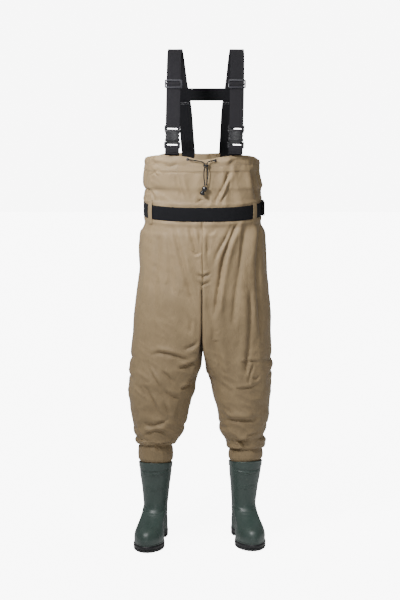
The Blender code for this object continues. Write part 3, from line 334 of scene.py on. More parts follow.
def thicken(obj, thickness):
    """Gives an open surface a wall on its inside, applied to its mesh."""
    wall = obj.modifiers.new("wall", "SOLIDIFY")
    wall.thickness = thickness
    wall.offset = -1.0
    wall.use_even_offset = False
    return applied(obj)


def applied(obj):
    """Puts an object's modifiers into its mesh."""
    bpy.context.view_layer.update()
    graph = bpy.context.evaluated_depsgraph_get()
    mesh = bpy.data.meshes.new_from_object(obj.evaluated_get(graph))
    obj.modifiers.clear()
    obj.data = mesh
    return obj


# The cloth's undisturbed surface


def straightened(z):
    """The height that a level of the torso takes its section from: the torso is straight under the belt."""
    reach = BELT_WIDTH / 2 + LOOP_REACH
    near = 1 - eased(reach, reach + HEM_DEPTH, np.abs(z - BELT_HEIGHT))
    return mixed(z, BELT_HEIGHT, near)


def torso_points(z, turn, side):
    """Points of the torso's outside. turn runs from 0, middle front, to 1, middle back."""
    row = TORSO.at((straightened(z) - CROTCH) / (BIB_TOP - CROTCH))
    extra = FABRIC * eased(BIB_TOP - HEM_DEPTH - FABRIC, BIB_TOP - HEM_DEPTH + FABRIC, z)
    middle = (row["left"] - row["right"]) * HIP_WIDTH / 4
    half = (row["left"] + row["right"]) * HIP_WIDTH / 4 + extra
    across = bulged(np.sin(np.pi * turn), row["square"])
    along = bulged(np.cos(np.pi * turn), row["square"])
    depth = np.where(along > 0, row["front"], row["back"]) * HIP_DEPTH + extra
    rise = RIM.at(turn)[side] * eased(BIB_TOP - HEM_DEPTH, BIB_TOP, z)
    x = middle + SIDES[side] * half * across
    return np.stack(np.broadcast_arrays(x, BODY_Y - depth * along, z + rise), axis=-1)


def leg_columns():
    """Shares along the outer columns, then along the inner ones from back to front."""
    outer = np.linspace(0, 1, TORSO_COLUMNS + 1)
    inner = np.linspace(0, 1, INNER_COLUMNS + 2)[1:-1]
    return outer, inner


def leg_angles():
    """The leg's columns as angles round it, from the outside to the front."""
    outer, inner = leg_columns()
    return np.radians(np.concatenate([270 * outer - 135, 135 + 90 * inner]))[None]


def leg_points(side, fall):
    """Levels of a leg: the outer columns continue the torso's, and the inner ones face the other leg."""
    fall = np.asarray(fall, float)[:, None]
    row = LEG.at(fall)
    sign = SIDES[side]
    middle_y = mixed(BODY_Y, BOOT_PLACES[side][1] * HIP_DEPTH, fall) - KNEE_FORWARD * np.sin(np.pi * fall)
    slit = SLIT_X + sign * THIGH_GAP / 2 * eased(0.0, 0.02, fall)
    outer_x = sign * row["outer_" + side] * HIP_WIDTH / 2
    inner_x = slit + sign * row["inner_" + side] * HIP_WIDTH / 2
    square = TORSO.at(0.0)["square"]
    outer, inner = leg_columns()
    across = np.concatenate([bulged(np.sin(np.pi * outer), square), np.zeros(len(inner))])[None]
    along = np.concatenate([bulged(np.cos(np.pi * outer), square), -np.cos(np.pi * inner)])[None]
    angle = leg_angles()
    tube_x = mixed(inner_x, outer_x, (1 + np.cos(angle)) / 2)
    along = mixed(along, -np.sin(angle), row["round"])
    depth = np.where(along > 0, row["front"], row["back"]) * HIP_DEPTH
    x = mixed(mixed(slit, outer_x, across), tube_x, row["round"])
    sag = np.concatenate([np.zeros(len(outer)), np.sin(np.pi * inner)])[None]
    z = mixed(CROTCH, BOOT_HEIGHT, fall) - CROTCH_SAG * sag * (1 - eased(0.0, 0.15, fall))
    return np.stack(np.broadcast_arrays(x, middle_y - depth * along, z), axis=-1)


def leaned(side, height):
    """How far outwards the shaft leans at a share of the boot's height."""
    ankle = 0.392
    return BOOT_PLACES[side][3] * np.clip((height - ankle) / (1 - ankle), 0.0, 1.0)


def boot_matrix(side):
    x, y, toe_out, _ = BOOT_PLACES[side]
    turn = math.radians(toe_out) * SIDES[side]
    return Matrix.Translation((x * HIP_WIDTH / 2, y * HIP_DEPTH, 0.0)) @ Matrix.Rotation(turn, 4, "Z")


def cuff_points(side, heights, growths):
    """Levels of the gathered end: the rim's outline grown outwards, in the leg's columns."""
    sign = SIDES[side]
    angle = leg_angles()
    heights, growths = np.asarray(heights)[:, None], np.asarray(growths)[:, None]
    toe_out = math.radians(BOOT_PLACES[side][2]) * sign
    world_x, world_y = sign * np.cos(angle), np.sin(angle)
    local_x = world_x * math.cos(toe_out) + world_y * math.sin(toe_out)
    local_y = world_y * math.cos(toe_out) - world_x * math.sin(toe_out)
    x = local_x * (RIM_WIDTH / 2 + growths) + sign * leaned(side, 1 + heights / BOOT_HEIGHT)
    y = local_y * (RIM_DEPTH / 2 + growths)
    z = BOOT_HEIGHT * (1 - RIM_SLOPE * local_y) + heights
    middle = boot_matrix(side).translation
    turned_x = middle.x + x * math.cos(toe_out) - y * math.sin(toe_out)
    turned_y = middle.y + x * math.sin(toe_out) + y * math.cos(toe_out)
    return np.stack(np.broadcast_arrays(turned_x, turned_y, z), axis=-1)


# The creases on each face. Each has its width and depth, which side its raised lip is on
# (0 has none), and its line: across and up, in metres. A minus depth stands out.
CREASES = {
    "front": [
        (0.0041, 0.0070, 1, [(-0.090, 1.379), (-0.080, 1.333), (-0.058, 1.268)]),
        (0.0041, 0.0070, 1, [(-0.076, 1.375), (-0.062, 1.322), (-0.041, 1.258)]),
        (0.0050, 0.0123, 1, [(0.105, 1.411), (0.098, 1.365), (0.073, 1.308), (0.045, 1.254)]),
        (0.0050, 0.0105, -1, [(0.112, 1.365), (0.095, 1.315), (0.066, 1.254)]),
        (0.0033, 0.0053, 1, [(-0.012, 1.290), (0.006, 1.268), (0.020, 1.258)]),
        (0.0033, 0.0053, -1, [(-0.019, 1.261), (-0.001, 1.276), (0.020, 1.279)]),
        (0.0058, 0.0105, -1, [(0.180, 1.393), (0.191, 1.336), (0.205, 1.272)]),
        (0.0033, 0.0070, 1, [(-0.201, 1.290), (-0.186, 1.311), (-0.172, 1.293), (-0.169, 1.268)]),
        (0.0033, 0.0053, -1, [(-0.183, 1.358), (-0.161, 1.379), (-0.133, 1.382)]),
        (0.0033, 0.0053, 1, [(-0.182, 1.397), (-0.165, 1.375), (-0.151, 1.358)]),
        (0.0041, 0.0053, 1, [(-0.193, 1.414), (-0.150, 1.407), (-0.108, 1.397), (-0.072, 1.418)]),
        (0.0041, 0.0070, 1, [(0.091, 1.397), (0.119, 1.418), (0.176, 1.421)]),
        (0.0066, 0.0088, 1, [(-0.101, 1.197), (-0.080, 1.118), (-0.052, 1.010), (-0.016, 0.881)]),
        (0.0050, 0.0105, 1, [(-0.044, 1.200), (-0.026, 1.136), (0.002, 1.057)]),
        (0.0058, -0.0088, 0, [(0.013, 1.204), (0.013, 1.118), (0.013, 1.021)]),
        (0.0036, 0.0090, 0, [(-0.005, 1.200), (0.002, 1.107), (0.009, 1.028)]),
        (0.0033, 0.0070, 0, [(0.034, 1.204), (0.031, 1.136), (0.020, 1.046)]),
        (0.0058, 0.0140, 1,
         [(0.141, 1.208), (0.109, 1.143), (0.084, 1.071), (0.067, 0.973), (0.049, 0.845)]),
        (0.0050, 0.0088, 1, [(0.116, 1.200), (0.095, 1.150), (0.063, 1.093), (0.045, 1.028)]),
        (0.0033, 0.0070, -1, [(-0.034, 1.107), (-0.016, 1.085), (0.002, 1.100)]),
        (0.0033, 0.0053, -1, [(0.027, 1.179), (0.041, 1.161), (0.052, 1.179)]),
        (0.0099, 0.0070, 1, [(0.166, 1.193), (0.152, 1.100), (0.128, 0.955), (0.114, 0.808)]),
        (0.0066, 0.0088, -1, [(0.220, 1.200), (0.206, 1.064), (0.211, 0.918), (0.222, 0.753)]),
        (0.0132, 0.0053, 1, [(-0.151, 1.179), (-0.159, 1.028), (-0.174, 0.845)]),
        (0.0116, 0.0053, 1, [(-0.123, 1.190), (-0.109, 1.064), (-0.102, 0.918)]),
        (0.0033, 0.0088, 1, [(-0.019, 1.021), (0.009, 1.006), (0.042, 1.021)]),
        (0.0033, 0.0070, 1, [(-0.012, 0.992), (0.013, 0.977), (0.038, 0.995)]),
        (0.0024, 0.0053, -1, [(-0.005, 0.959), (0.013, 0.970), (0.031, 0.963)]),
        (0.0058, 0.0088, 1, [(0.006, 0.793), (-0.016, 0.760), (-0.066, 0.731)]),
        (0.0041, 0.0070, 1, [(-0.045, 0.874), (-0.034, 0.837), (-0.038, 0.786)]),
        (0.0050, 0.0105, 1, [(-0.186, 0.705), (-0.150, 0.724), (-0.088, 0.713), (-0.027, 0.687)]),
        (0.0050, 0.0123, 1, [(-0.088, 0.661), (-0.056, 0.672), (-0.016, 0.687), (0.006, 0.705)]),
        (0.0033, 0.0070, 1, [(-0.193, 0.672), (-0.161, 0.621), (-0.143, 0.587)]),
        (0.0033, 0.0070, 1, [(-0.143, 0.661), (-0.117, 0.639), (-0.096, 0.613)]),
        (0.0041, 0.0105, 1, [(-0.074, 0.584), (-0.049, 0.595), (-0.027, 0.599)]),
        (0.0058, 0.0088, 1, [(-0.215, 0.613), (-0.183, 0.565), (-0.158, 0.510), (-0.147, 0.476)]),
        (0.0066, 0.0088, 1, [(-0.136, 0.591), (-0.110, 0.565), (-0.067, 0.547)]),
        (0.0050, 0.0070, 1, [(-0.136, 0.547), (-0.118, 0.502), (-0.110, 0.473)]),
        (0.0058, 0.0088, -1, [(-0.216, 0.469), (-0.187, 0.447), (-0.140, 0.461), (-0.107, 0.480)]),
        (0.0050, 0.0088, 1, [(-0.213, 0.402), (-0.180, 0.424), (-0.147, 0.428), (-0.118, 0.409)]),
        (0.0074, 0.0088, -1,
         [(0.178, 0.966), (0.179, 0.859), (0.176, 0.742), (0.169, 0.680), (0.172, 0.599)]),
        (0.0083, 0.0070, 1, [(0.020, 0.948), (0.042, 0.845), (0.053, 0.753), (0.078, 0.661)]),
        (0.0024, 0.0044, 1, [(0.063, 0.815), (0.056, 0.797), (0.060, 0.782)]),
        (0.0024, 0.0044, 1, [(0.049, 0.764), (0.067, 0.771)]),
        (0.0066, 0.0053, 1, [(0.064, 0.724), (0.078, 0.661), (0.100, 0.632)]),
        (0.0033, 0.0053, 1, [(0.140, 0.683), (0.169, 0.691), (0.219, 0.683)]),
        (0.0033, 0.0053, -1, [(0.183, 0.635), (0.205, 0.621), (0.216, 0.639)]),
        (0.0041, 0.0070, 1, [(0.118, 0.587), (0.173, 0.591), (0.212, 0.602)]),
        (0.0041, 0.0070, -1, [(0.197, 0.691), (0.180, 0.635), (0.176, 0.595)]),
        (0.0074, 0.0123, 1,
         [(0.068, 0.447), (0.100, 0.461), (0.140, 0.465), (0.198, 0.469), (0.213, 0.491)]),
        (0.0033, 0.0053, 1, [(0.166, 0.398), (0.184, 0.409), (0.217, 0.417)]),
        (0.0041, 0.0088, 1, [(0.122, 0.379), (0.162, 0.383), (0.188, 0.398)]),
        (0.0030, 0.0110, 1, [(-0.176, 0.372), (-0.140, 0.377), (-0.098, 0.381)]),
        (0.0026, 0.0060, 1, [(-0.170, 0.368), (-0.158, 0.356), (-0.142, 0.346)]),
        (0.0030, 0.0110, 1, [(0.092, 0.352), (0.130, 0.346), (0.166, 0.355)]),
        (0.0029, 0.0090, -1, [(0.120, 0.395), (0.150, 0.372), (0.168, 0.352)]),
    ],
    "back": [
        (0.0050, 0.0105, 1, [(-0.120, 1.400), (-0.098, 1.340), (-0.070, 1.272)]),
        (0.0050, 0.0105, -1, [(0.118, 1.398), (0.100, 1.350), (0.082, 1.270)]),
        (0.0041, 0.0070, 1, [(-0.020, 1.372), (-0.012, 1.320), (-0.016, 1.270)]),
        (0.0041, 0.0070, -1, [(0.034, 1.360), (0.026, 1.310), (0.030, 1.272)]),
        (0.0074, 0.0105, 1, [(-0.110, 1.200), (-0.080, 1.120), (-0.040, 1.030)]),
        (0.0074, 0.0105, -1, [(0.120, 1.200), (0.092, 1.120), (0.052, 1.030)]),
        (0.0050, -0.0070, 0, [(0.006, 1.206), (0.005, 1.100), (0.006, 1.000)]),
        (0.0066, 0.0105, 1, [(-0.150, 0.960), (-0.080, 0.935), (-0.020, 0.950)]),
        (0.0066, 0.0105, -1, [(0.160, 0.955), (0.090, 0.930), (0.030, 0.946)]),
        (0.0066, 0.0088, 1, [(-0.060, 0.900), (-0.110, 0.860), (-0.150, 0.790)]),
        (0.0066, 0.0088, -1, [(0.070, 0.895), (0.120, 0.850), (0.165, 0.780)]),
        (0.0058, 0.0123, 1, [(-0.220, 0.700), (-0.140, 0.680), (-0.060, 0.705)]),
        (0.0058, 0.0105, -1, [(0.230, 0.690), (0.150, 0.672), (0.065, 0.700)]),
        (0.0050, 0.0105, 1, [(-0.210, 0.640), (-0.150, 0.628), (-0.090, 0.650)]),
        (0.0050, 0.0105, -1, [(0.215, 0.630), (0.160, 0.615), (0.090, 0.640)]),
        (0.0066, 0.0088, 1, [(-0.200, 0.580), (-0.160, 0.510), (-0.120, 0.460)]),
        (0.0066, 0.0088, -1, [(0.205, 0.570), (0.160, 0.500), (0.120, 0.450)]),
        (0.0058, 0.0123, 1, [(-0.215, 0.430), (-0.170, 0.440), (-0.115, 0.425)]),
        (0.0058, 0.0123, -1, [(0.215, 0.425), (0.160, 0.440), (0.110, 0.420)]),
    ],
    "left": [
        (0.0092, 0.0048, 1, [(-0.040, 1.400), (-0.020, 1.340), (0.000, 1.280)]),
        (0.0069, 0.0039, -1, [(0.080, 1.395), (0.060, 1.340), (0.052, 1.280)]),
        (0.0115, 0.0058, 1, [(0.020, 1.190), (0.010, 1.080), (0.030, 0.960)]),
        (0.0080, 0.0058, -1, [(-0.060, 0.700), (0.000, 0.680), (0.080, 0.700)]),
        (0.0080, 0.0058, 1, [(-0.050, 0.620), (0.020, 0.640), (0.090, 0.620)]),
        (0.0080, 0.0058, -1, [(-0.040, 0.450), (0.020, 0.435), (0.090, 0.450)]),
    ],
    "right": [
        (0.0092, 0.0048, 1, [(-0.050, 1.395), (-0.030, 1.340), (-0.020, 1.280)]),
        (0.0069, 0.0039, -1, [(0.090, 1.390), (0.070, 1.340), (0.064, 1.280)]),
        (0.0115, 0.0058, 1, [(0.030, 1.190), (0.020, 1.080), (0.040, 0.960)]),
        (0.0080, 0.0058, -1, [(-0.050, 0.705), (0.010, 0.690), (0.080, 0.700)]),
        (0.0080, 0.0058, 1, [(-0.060, 0.610), (0.010, 0.625), (0.080, 0.610)]),
        (0.0080, 0.0058, -1, [(-0.050, 0.440), (0.010, 0.428), (0.070, 0.445)]),
    ],
}

# The axis across each face, and the way it looks
FACES = {"front": (0, 1, -1), "back": (0, 1, 1), "left": (1, 0, 1), "right": (1, 0, -1)}


def smooth_line(points, steps=8):
    """A smooth curve through given points."""
    keys = np.arange(len(points), dtype=float)
    rows = np.column_stack([keys, np.array(points, float)])
    names = "key " + " ".join("axis%d" % i for i in range(rows.shape[1] - 1))
    table = Table(names, rows)
    values = table.at(np.linspace(0, keys[-1], steps * (len(points) - 1) + 1))
    return np.column_stack([values[name] for name in table.names[1:]])


def crease_depth(across, up, crease):
    """How far one crease moves points that lie at these places on its face."""
    width, depth, lip, points = crease
    line = smooth_line(points)
    steps = np.linalg.norm(np.diff(line, axis=0), axis=1)
    starts = np.concatenate([[0.0], np.cumsum(steps)])
    best = np.full(across.shape, np.inf)
    side = np.zeros(across.shape)
    travelled = np.zeros(across.shape)
    for i, step in enumerate(steps):
        (ax, az), (dx, dz) = line[i], (line[i + 1] - line[i]) / step
        t = np.clip((across - ax) * dx + (up - az) * dz, 0.0, step)
        off_x, off_z = across - ax - dx * t, up - az - dz * t
        distance = np.hypot(off_x, off_z)
        nearer = distance < best
        best = np.where(nearer, distance, best)
        side = np.where(nearer, np.sign(dx * off_z - dz * off_x), side)
        travelled = np.where(nearer, starts[i] + t, travelled)
    signed = best * side / width
    end = min(0.35 * starts[-1], 0.060)
    fade = eased(0.0, end, travelled) * eased(0.0, end, starts[-1] - travelled)
    trough = -np.exp(-(np.abs(signed) ** 1.35))
    raised = 0.50 * peaked(signed - 2.6 * lip, 2.0) if lip else 0.0
    return depth * fade * (trough + raised)


def creased(points, normals):
    """How far the creases move each point along its normal."""
    moved = np.zeros(len(points))
    for face, creases in CREASES.items():
        axis, facing, way = FACES[face]
        across, up, towards = points[:, axis], points[:, 2], normals[:, facing] * way
        for crease in creases:
            line = np.array(crease[3])
            margin = 8 * crease[0]
            low, high = line.min(axis=0) - margin, line.max(axis=0) + margin
            near = (across > low[0]) & (across < high[0]) & (up > low[1]) & (up < high[1]) & (towards > 0)
            if near.any():
                weight = eased(0.05, 0.40, towards[near])
                moved[near] += weight * crease_depth(across[near], up[near], crease)
    return moved


def rumpled(points, normals):
    """The cloth's unplanned unevenness: long soft swells, and ridges with crisp crests between them."""
    height = points[:, 2]
    swell = ripple(points, (0.075, 0.075, 0.150), 3.1) * 0.0035
    long_folds = 0.25 - np.abs(ripple(points, (0.050, 0.070, 0.230), 17.3))
    slant = points @ np.array([[0.85, 0, 0.5], [0, 1, 0], [-0.5, 0, 0.85]])
    short_folds = 0.25 - np.abs(ripple(slant, (0.090, 0.070, 0.030), 41.9))
    low = 1 - eased(0.55, 0.80, height)
    crimp = ripple(slant, (0.012, 0.020, 0.030), 23.7) * 0.0006
    folds = long_folds * mixed(0.0070, 0.0040, low) + short_folds * mixed(0.0026, 0.0085, low)
    return swell + folds * mixed(0.35, 1.0, eased(0.3, 0.9, np.abs(normals[:, 1]))) + crimp


def belt_middle(turn):
    """The belt's middle height round the waist: it hangs lower at the front."""
    return BELT_HEIGHT - BELT_DIP * np.cos(np.pi * turn)


def cinched(z, turn):
    """The cloth swells out just above and below the belt and lies flat under it."""
    off = np.abs(z - belt_middle(turn)) - BELT_WIDTH / 2
    return 0.0030 * peaked(off - 0.0100, 0.0075)


def under_belt(z, turn):
    """1 under the belt, where the cloth is pressed flat, and 0 away from it."""
    return 1 - eased(-0.002, 0.010, np.abs(z - belt_middle(turn)) - BELT_WIDTH / 2)


def hem_relief(points, z, turn):
    """The turned hem: its sewn lower edge, the channel for the cord, and the gathers on it."""
    seam = BIB_TOP - HEM_DEPTH
    stitched = -0.0014 * peaked(z - seam, 0.0030)
    channel = 0.0020 * peaked(z - BIB_TOP + 0.0130, 0.0085)
    drawn = -0.0016 * peaked(z - BIB_TOP + 0.0270, 0.0035)
    along = np.column_stack([points[:, 0], points[:, 1], points[:, 2] * 0.18])
    gathers = ripple(along, (0.0135, 0.0135, 0.0200), 7.7)
    share = eased(seam - 0.004, BIB_TOP - 0.010, z)
    strength = mixed(0.0016, 0.0042, eased(0.10, 0.30, turn))
    return stitched + channel + drawn + gathers * strength * share


def grid_normals(grid, closed):
    """Outward directions of a grid of points, from the lines along its rows and columns."""
    up = np.gradient(grid, axis=0)
    if closed:
        round_it = (np.roll(grid, -1, axis=1) - np.roll(grid, 1, axis=1)) / 2
    else:
        round_it = np.gradient(grid, axis=1)
    normals = np.cross(round_it, up)
    normals /= np.maximum(np.linalg.norm(normals, axis=2, keepdims=True), 1e-9)
    from_middle = grid - (grid.min(axis=1, keepdims=True) + grid.max(axis=1, keepdims=True)) / 2
    return normals if (normals * from_middle)[..., 1].sum() > 0 else -normals


def torso_grid(heights, side):
    turns = np.linspace(0, 1, TORSO_COLUMNS + 1)
    z, turn = np.meshgrid(heights, turns, indexing="ij")
    return torso_points(z, turn, side), z, turn


def torso_normals(grid):
    """Outward directions of half the torso, level with the other half's at the middle front and back."""
    normals = grid_normals(grid, closed=False)
    normals[:, 0] = (0, -1, 0)
    normals[:, -1] = (0, 1, 0)
    return normals


def torso_relief(points, normals, z, turn):
    soft = rumpled(points, normals) * (1 - 0.85 * under_belt(z, turn))
    lines = creased(points, normals) * (1 - 0.9 * under_belt(z, turn))
    moved = soft + lines + cinched(z, turn) + hem_relief(points, z, turn)
    over_webbing = eased(BIB_TOP - HEM_DEPTH - 0.006, BIB_TOP - HEM_DEPTH + 0.004, z)
    return mixed(moved, np.maximum(moved, -0.0010), over_webbing)


def relieved_torso(heights, side):
    """Half the torso's outside with its relief, and its normals."""
    grid, z, turn = torso_grid(heights, side)
    normals = torso_normals(grid)
    flat = [a.reshape(-1, *a.shape[2:]) for a in (grid, normals, z, turn)]
    moved = torso_relief(*flat).reshape(z.shape)
    return grid + normals * moved[..., None], normals


def build_bib():
    """The bib above the belt's middle: a front and back in one, closed round the body."""
    rows = int((BIB_TOP - BELT_HEIGHT) / (ROW * 0.72))
    heights = np.linspace(BELT_HEIGHT - BELT_DIP, BIB_TOP, rows)
    left, _ = relieved_torso(heights, "left")
    right, _ = relieved_torso(heights, "right")
    grid = np.concatenate([left, right[:, -2:0:-1]], axis=1)
    inwards = np.mean(grid, axis=1, keepdims=True) - grid
    inwards[..., 2] = 0
    inwards /= np.linalg.norm(inwards, axis=2, keepdims=True)
    rolled = []
    for angle in np.linspace(0, math.pi, 6)[1:]:
        radius = FABRIC * 1.4
        over = grid[-1:] + inwards[-1:] * radius * (1 - math.cos(angle))
        over[..., 2] += radius * math.sin(angle)
        rolled.append(over)
    turned_in = [over_row(rolled[-1], inwards[-1:], depth) for depth in np.linspace(0.004, 0.046, 12)]
    grid = np.concatenate([grid, *rolled, *turned_in])
    count = grid.shape[1]
    bib = grid_mesh("bib", grid, grid_faces(grid.shape[0], count, closed=True))
    return thicken(bib, FABRIC)


def over_row(row, inwards, depth):
    """A row of the hem's inner layer, hanging down inside the bib."""
    lower = row + inwards * depth * 0.012
    lower[..., 2] -= depth
    return lower


def trouser_rows(side):
    """The levels of one half of the trousers below the torso: the leg, its gathered end and the tuck."""
    falls = np.linspace(0, LEG_END, int(LEG_END * (CROTCH - BOOT_HEIGHT) / ROW))
    leg = leg_points(side, falls)
    shares = np.linspace(0, 1, 46)
    cuff_row = CUFF[side].at(shares)
    cuff = cuff_points(side, cuff_row["height"], cuff_row["growth"])
    bridge = mixed(leg[-1:], cuff[:1], np.linspace(0, 1, 8)[1:-1, None, None])
    tuck = -(BOOT_WALL + CURVED_GAP)
    depths = [GAP * 4, -COLLAR_HEIGHT * 0.5, -CUFF_TUCK]
    tucked = cuff_points(side, depths, [tuck, tuck - 0.0008, tuck - 0.0018])
    return leg, np.concatenate([bridge, cuff]), tucked


# The thighs' inner faces lie in a shallow wave against each other, so that no light shows between them.
THIGH_WAVE = 0.0050


def build_trouser(side):
    """One half of the trousers: half the torso below the belt's middle, and one whole leg."""
    top = BELT_HEIGHT + BELT_DIP
    heights = np.linspace(top, CROTCH, int((top - CROTCH) / ROW))[:-1]
    torso, _ = relieved_torso(heights, side)
    leg, gathered, tucked = trouser_rows(side)
    tube = np.concatenate([leg, gathered])
    normals = grid_normals(tube, closed=True)
    across = eased(0.0, 0.03, np.linspace(0, LEG_END, len(leg)))[:, None]
    for column, y in ((0, -1.0), (TORSO_COLUMNS, 1.0)):
        straight = np.array([0.0, y, 0.0])
        normals[: len(leg), column] = mixed(straight, normals[: len(leg), column], across)
    points, flat_normals = tube.reshape(-1, 3), normals.reshape(-1, 3)
    height = points[:, 2] - BOOT_HEIGHT
    above_cuff = eased(0.03, 0.10, height)
    moved = creased(points, flat_normals) * mixed(0.7, 1.0, above_cuff)
    moved += rumpled(points, flat_normals) * mixed(0.35, 1.0, above_cuff)
    gathers = ripple(points, (0.0120, 0.0120, 0.0500), 29.0) * 0.0020
    moved += gathers * (1 - eased(0.07, 0.12, height))
    moved *= eased(0.006, 0.020, height)
    facing_slit = 1 - eased(0.004, 0.030, np.abs(points[:, 0] - SLIT_X))
    moved = moved * (1 - facing_slit)
    points = points + flat_normals * moved[:, None]
    deep = (points[:, 1] - BODY_Y) / (HIP_DEPTH / 2)
    points[:, 0] += THIGH_WAVE * np.cos(1.5 * math.pi * deep) * facing_slit * eased(0.60, 0.75, points[:, 2])
    tube = points.reshape(tube.shape)
    tube = np.concatenate([tube, tucked])
    return joined_half(side, torso, tube)


def joined_half(side, torso, tube):
    """One mesh of an open strip of torso rows above a closed tube."""
    outer = TORSO_COLUMNS + 1
    points = np.concatenate([torso.reshape(-1, 3), tube.reshape(-1, 3)])
    flip = side == "left"
    faces = grid_faces(len(torso), outer, closed=False, flip=flip)
    start, columns = torso.shape[0] * outer, tube.shape[1]
    for k in range(outer - 1):
        above = start - outer + k
        quad = (above, above + 1, start + k + 1, start + k)
        faces.append(quad[::-1] if flip else quad)
    for face in grid_faces(len(tube), columns, closed=True, flip=flip):
        faces.append(tuple(start + i for i in face))
    half = grid_mesh("trouser_" + side, points, faces)
    return thicken(half, FABRIC)


# Materials


class Look:
    """A node material: a Principled shader, with short ways to add textures to it."""

    def __init__(self, name, roughness, **settings):
        self.material = bpy.data.materials.new(name)
        self.material.use_nodes = True
        self.nodes = self.material.node_tree.nodes
        self.links = self.material.node_tree.links
        self.shader = self.nodes["Principled BSDF"]
        self.shader.inputs["Roughness"].default_value = roughness
        for socket, value in settings.items():
            self.shader.inputs[socket.replace("_", " ")].default_value = value
        self.bumped = None

    def add(self, kind, inputs=(), **settings):
        node = self.nodes.new(kind)
        for key, value in settings.items():
            setattr(node, key, value)
        for key, value in dict(inputs).items():
            if isinstance(value, bpy.types.NodeSocket):
                self.links.new(value, node.inputs[key])
            else:
                node.inputs[key].default_value = value
        return node

    def place(self, kind="Object", scale=(1, 1, 1), turn=0.0):
        """Texture coordinates: Object or UV, in metres, scaled and turned about Z."""
        where = self.add("ShaderNodeTexCoord").outputs[kind]
        inputs = {"Vector": where, "Scale": scale, "Rotation": (0, 0, turn)}
        return self.add("ShaderNodeMapping", inputs).outputs["Vector"]

    def noise(self, where, size, detail=3.0, rough=0.5):
        """Noise with features of a size in metres."""
        inputs = {"Vector": where, "Scale": 1 / size, "Detail": detail, "Roughness": rough}
        return self.add("ShaderNodeTexNoise", inputs).outputs["Fac"]

    def wave(self, where, pitch, axis, distortion=0.0):
        """Even bands a pitch apart, in metres."""
        inputs = {"Vector": where, "Scale": math.pi / pitch / 10, "Distortion": distortion}
        settings = {"wave_type": "BANDS", "bands_direction": axis, "wave_profile": "SIN"}
        return self.add("ShaderNodeTexWave", inputs, **settings).outputs["Fac"]

    def math(self, operation, a, b):
        return self.add("ShaderNodeMath", {0: a, 1: b}, operation=operation).outputs[0]

    def ramp(self, value, stops):
        """Colours or greys at places along a value."""
        node = self.add("ShaderNodeValToRGB", {"Fac": value})
        elements = node.color_ramp.elements
        while len(elements) < len(stops):
            elements.new(0.5)
        for element, (position, colour) in zip(elements, stops):
            element.position = position
            grey = not hasattr(colour, "__len__")
            element.color = (colour, colour, colour, 1) if grey else (*colour, 1)
        return node.outputs["Color"]

    def colour(self, value):
        self.links.new(value, self.shader.inputs["Base Color"])

    def tint(self, value, colour, *stops):
        """Colours the surface by shares of one colour at places along a value."""
        self.colour(self.ramp(value, [(place, tinted(colour, share)) for place, share in stops]))

    def rough(self, value, *stops):
        self.links.new(self.ramp(value, stops), self.shader.inputs["Roughness"])

    def bump(self, height, depth, strength):
        """Adds a bump of a depth in metres to those the material already has."""
        inputs = {"Height": height, "Distance": depth, "Strength": strength}
        if self.bumped is not None:
            inputs["Normal"] = self.bumped
        self.bumped = self.add("ShaderNodeBump", inputs).outputs["Normal"]
        self.links.new(self.bumped, self.shader.inputs["Normal"])


def tinted(colour, share):
    return tuple(channel * share for channel in colour)


def coated_cloth(name, colour):
    """Tan nylon with a matt proofed face: fine cross weave, slubs, wrinkles and mottling."""
    look = Look(name, 0.66, Sheen_Weight=0.05, Sheen_Roughness=0.45, Specular_IOR_Level=0.36)
    where = look.place()
    mottle = look.noise(where, 0.060, 4.0, 0.60)
    look.tint(mottle, colour, (0.30, 0.90), (0.52, 1.0), (0.74, 1.09))
    look.rough(look.noise(where, 0.020, 3.0), (0.3, 0.58), (0.7, 0.72))
    threads = look.place("UV")
    weave = look.math("MULTIPLY", look.wave(threads, 0.0009, "X"), look.wave(threads, 0.0009, "Y"))
    look.bump(weave, 0.00010, 0.5)
    look.bump(look.noise(look.place("UV", (1, 0.12, 1)), 0.0030, 2.0), 0.00012, 0.35)
    wavy = look.noise(look.place(scale=(1, 1, 0.45), turn=0.4), 0.030, 2.0)
    crisp = look.math("ABSOLUTE", look.math("SUBTRACT", wavy, 0.5), 0.0)
    look.bump(look.ramp(crisp, [(0.0, 0.0), (0.05, 0.8), (0.25, 1.0)]), 0.0009, 0.5)
    look.bump(look.noise(where, 0.011, 4.0, 0.62), 0.0005, 0.35)
    return look.material


def moulded_boot(name, colour):
    """Moulded PVC with a low gloss, a faint orange peel and duller cloudy patches."""
    look = Look(name, 0.44, Coat_Weight=0.12, Coat_Roughness=0.26, Specular_IOR_Level=0.50)
    where = look.place()
    cloudy = look.noise(where, 0.050, 4.0, 0.6)
    look.tint(cloudy, colour, (0.3, 0.90), (0.7, 1.12))
    look.rough(look.noise(where, 0.018, 5.0, 0.65), (0.35, 0.40), (0.70, 0.50))
    look.bump(look.noise(where, 0.0016, 2.0), 0.00003, 0.4)
    look.bump(look.noise(where, 0.030, 2.0), 0.0006, 0.20)
    return look.material


def rubber(name, colour):
    look = Look(name, 0.50, Specular_IOR_Level=0.45)
    where = look.place()
    look.tint(look.noise(where, 0.020, 4.0), colour, (0.3, 0.8), (0.75, 1.6))
    look.rough(look.noise(where, 0.008, 4.0, 0.6), (0.3, 0.42), (0.7, 0.62))
    look.bump(look.noise(where, 0.0009, 2.0), 0.00012, 0.6)
    return look.material


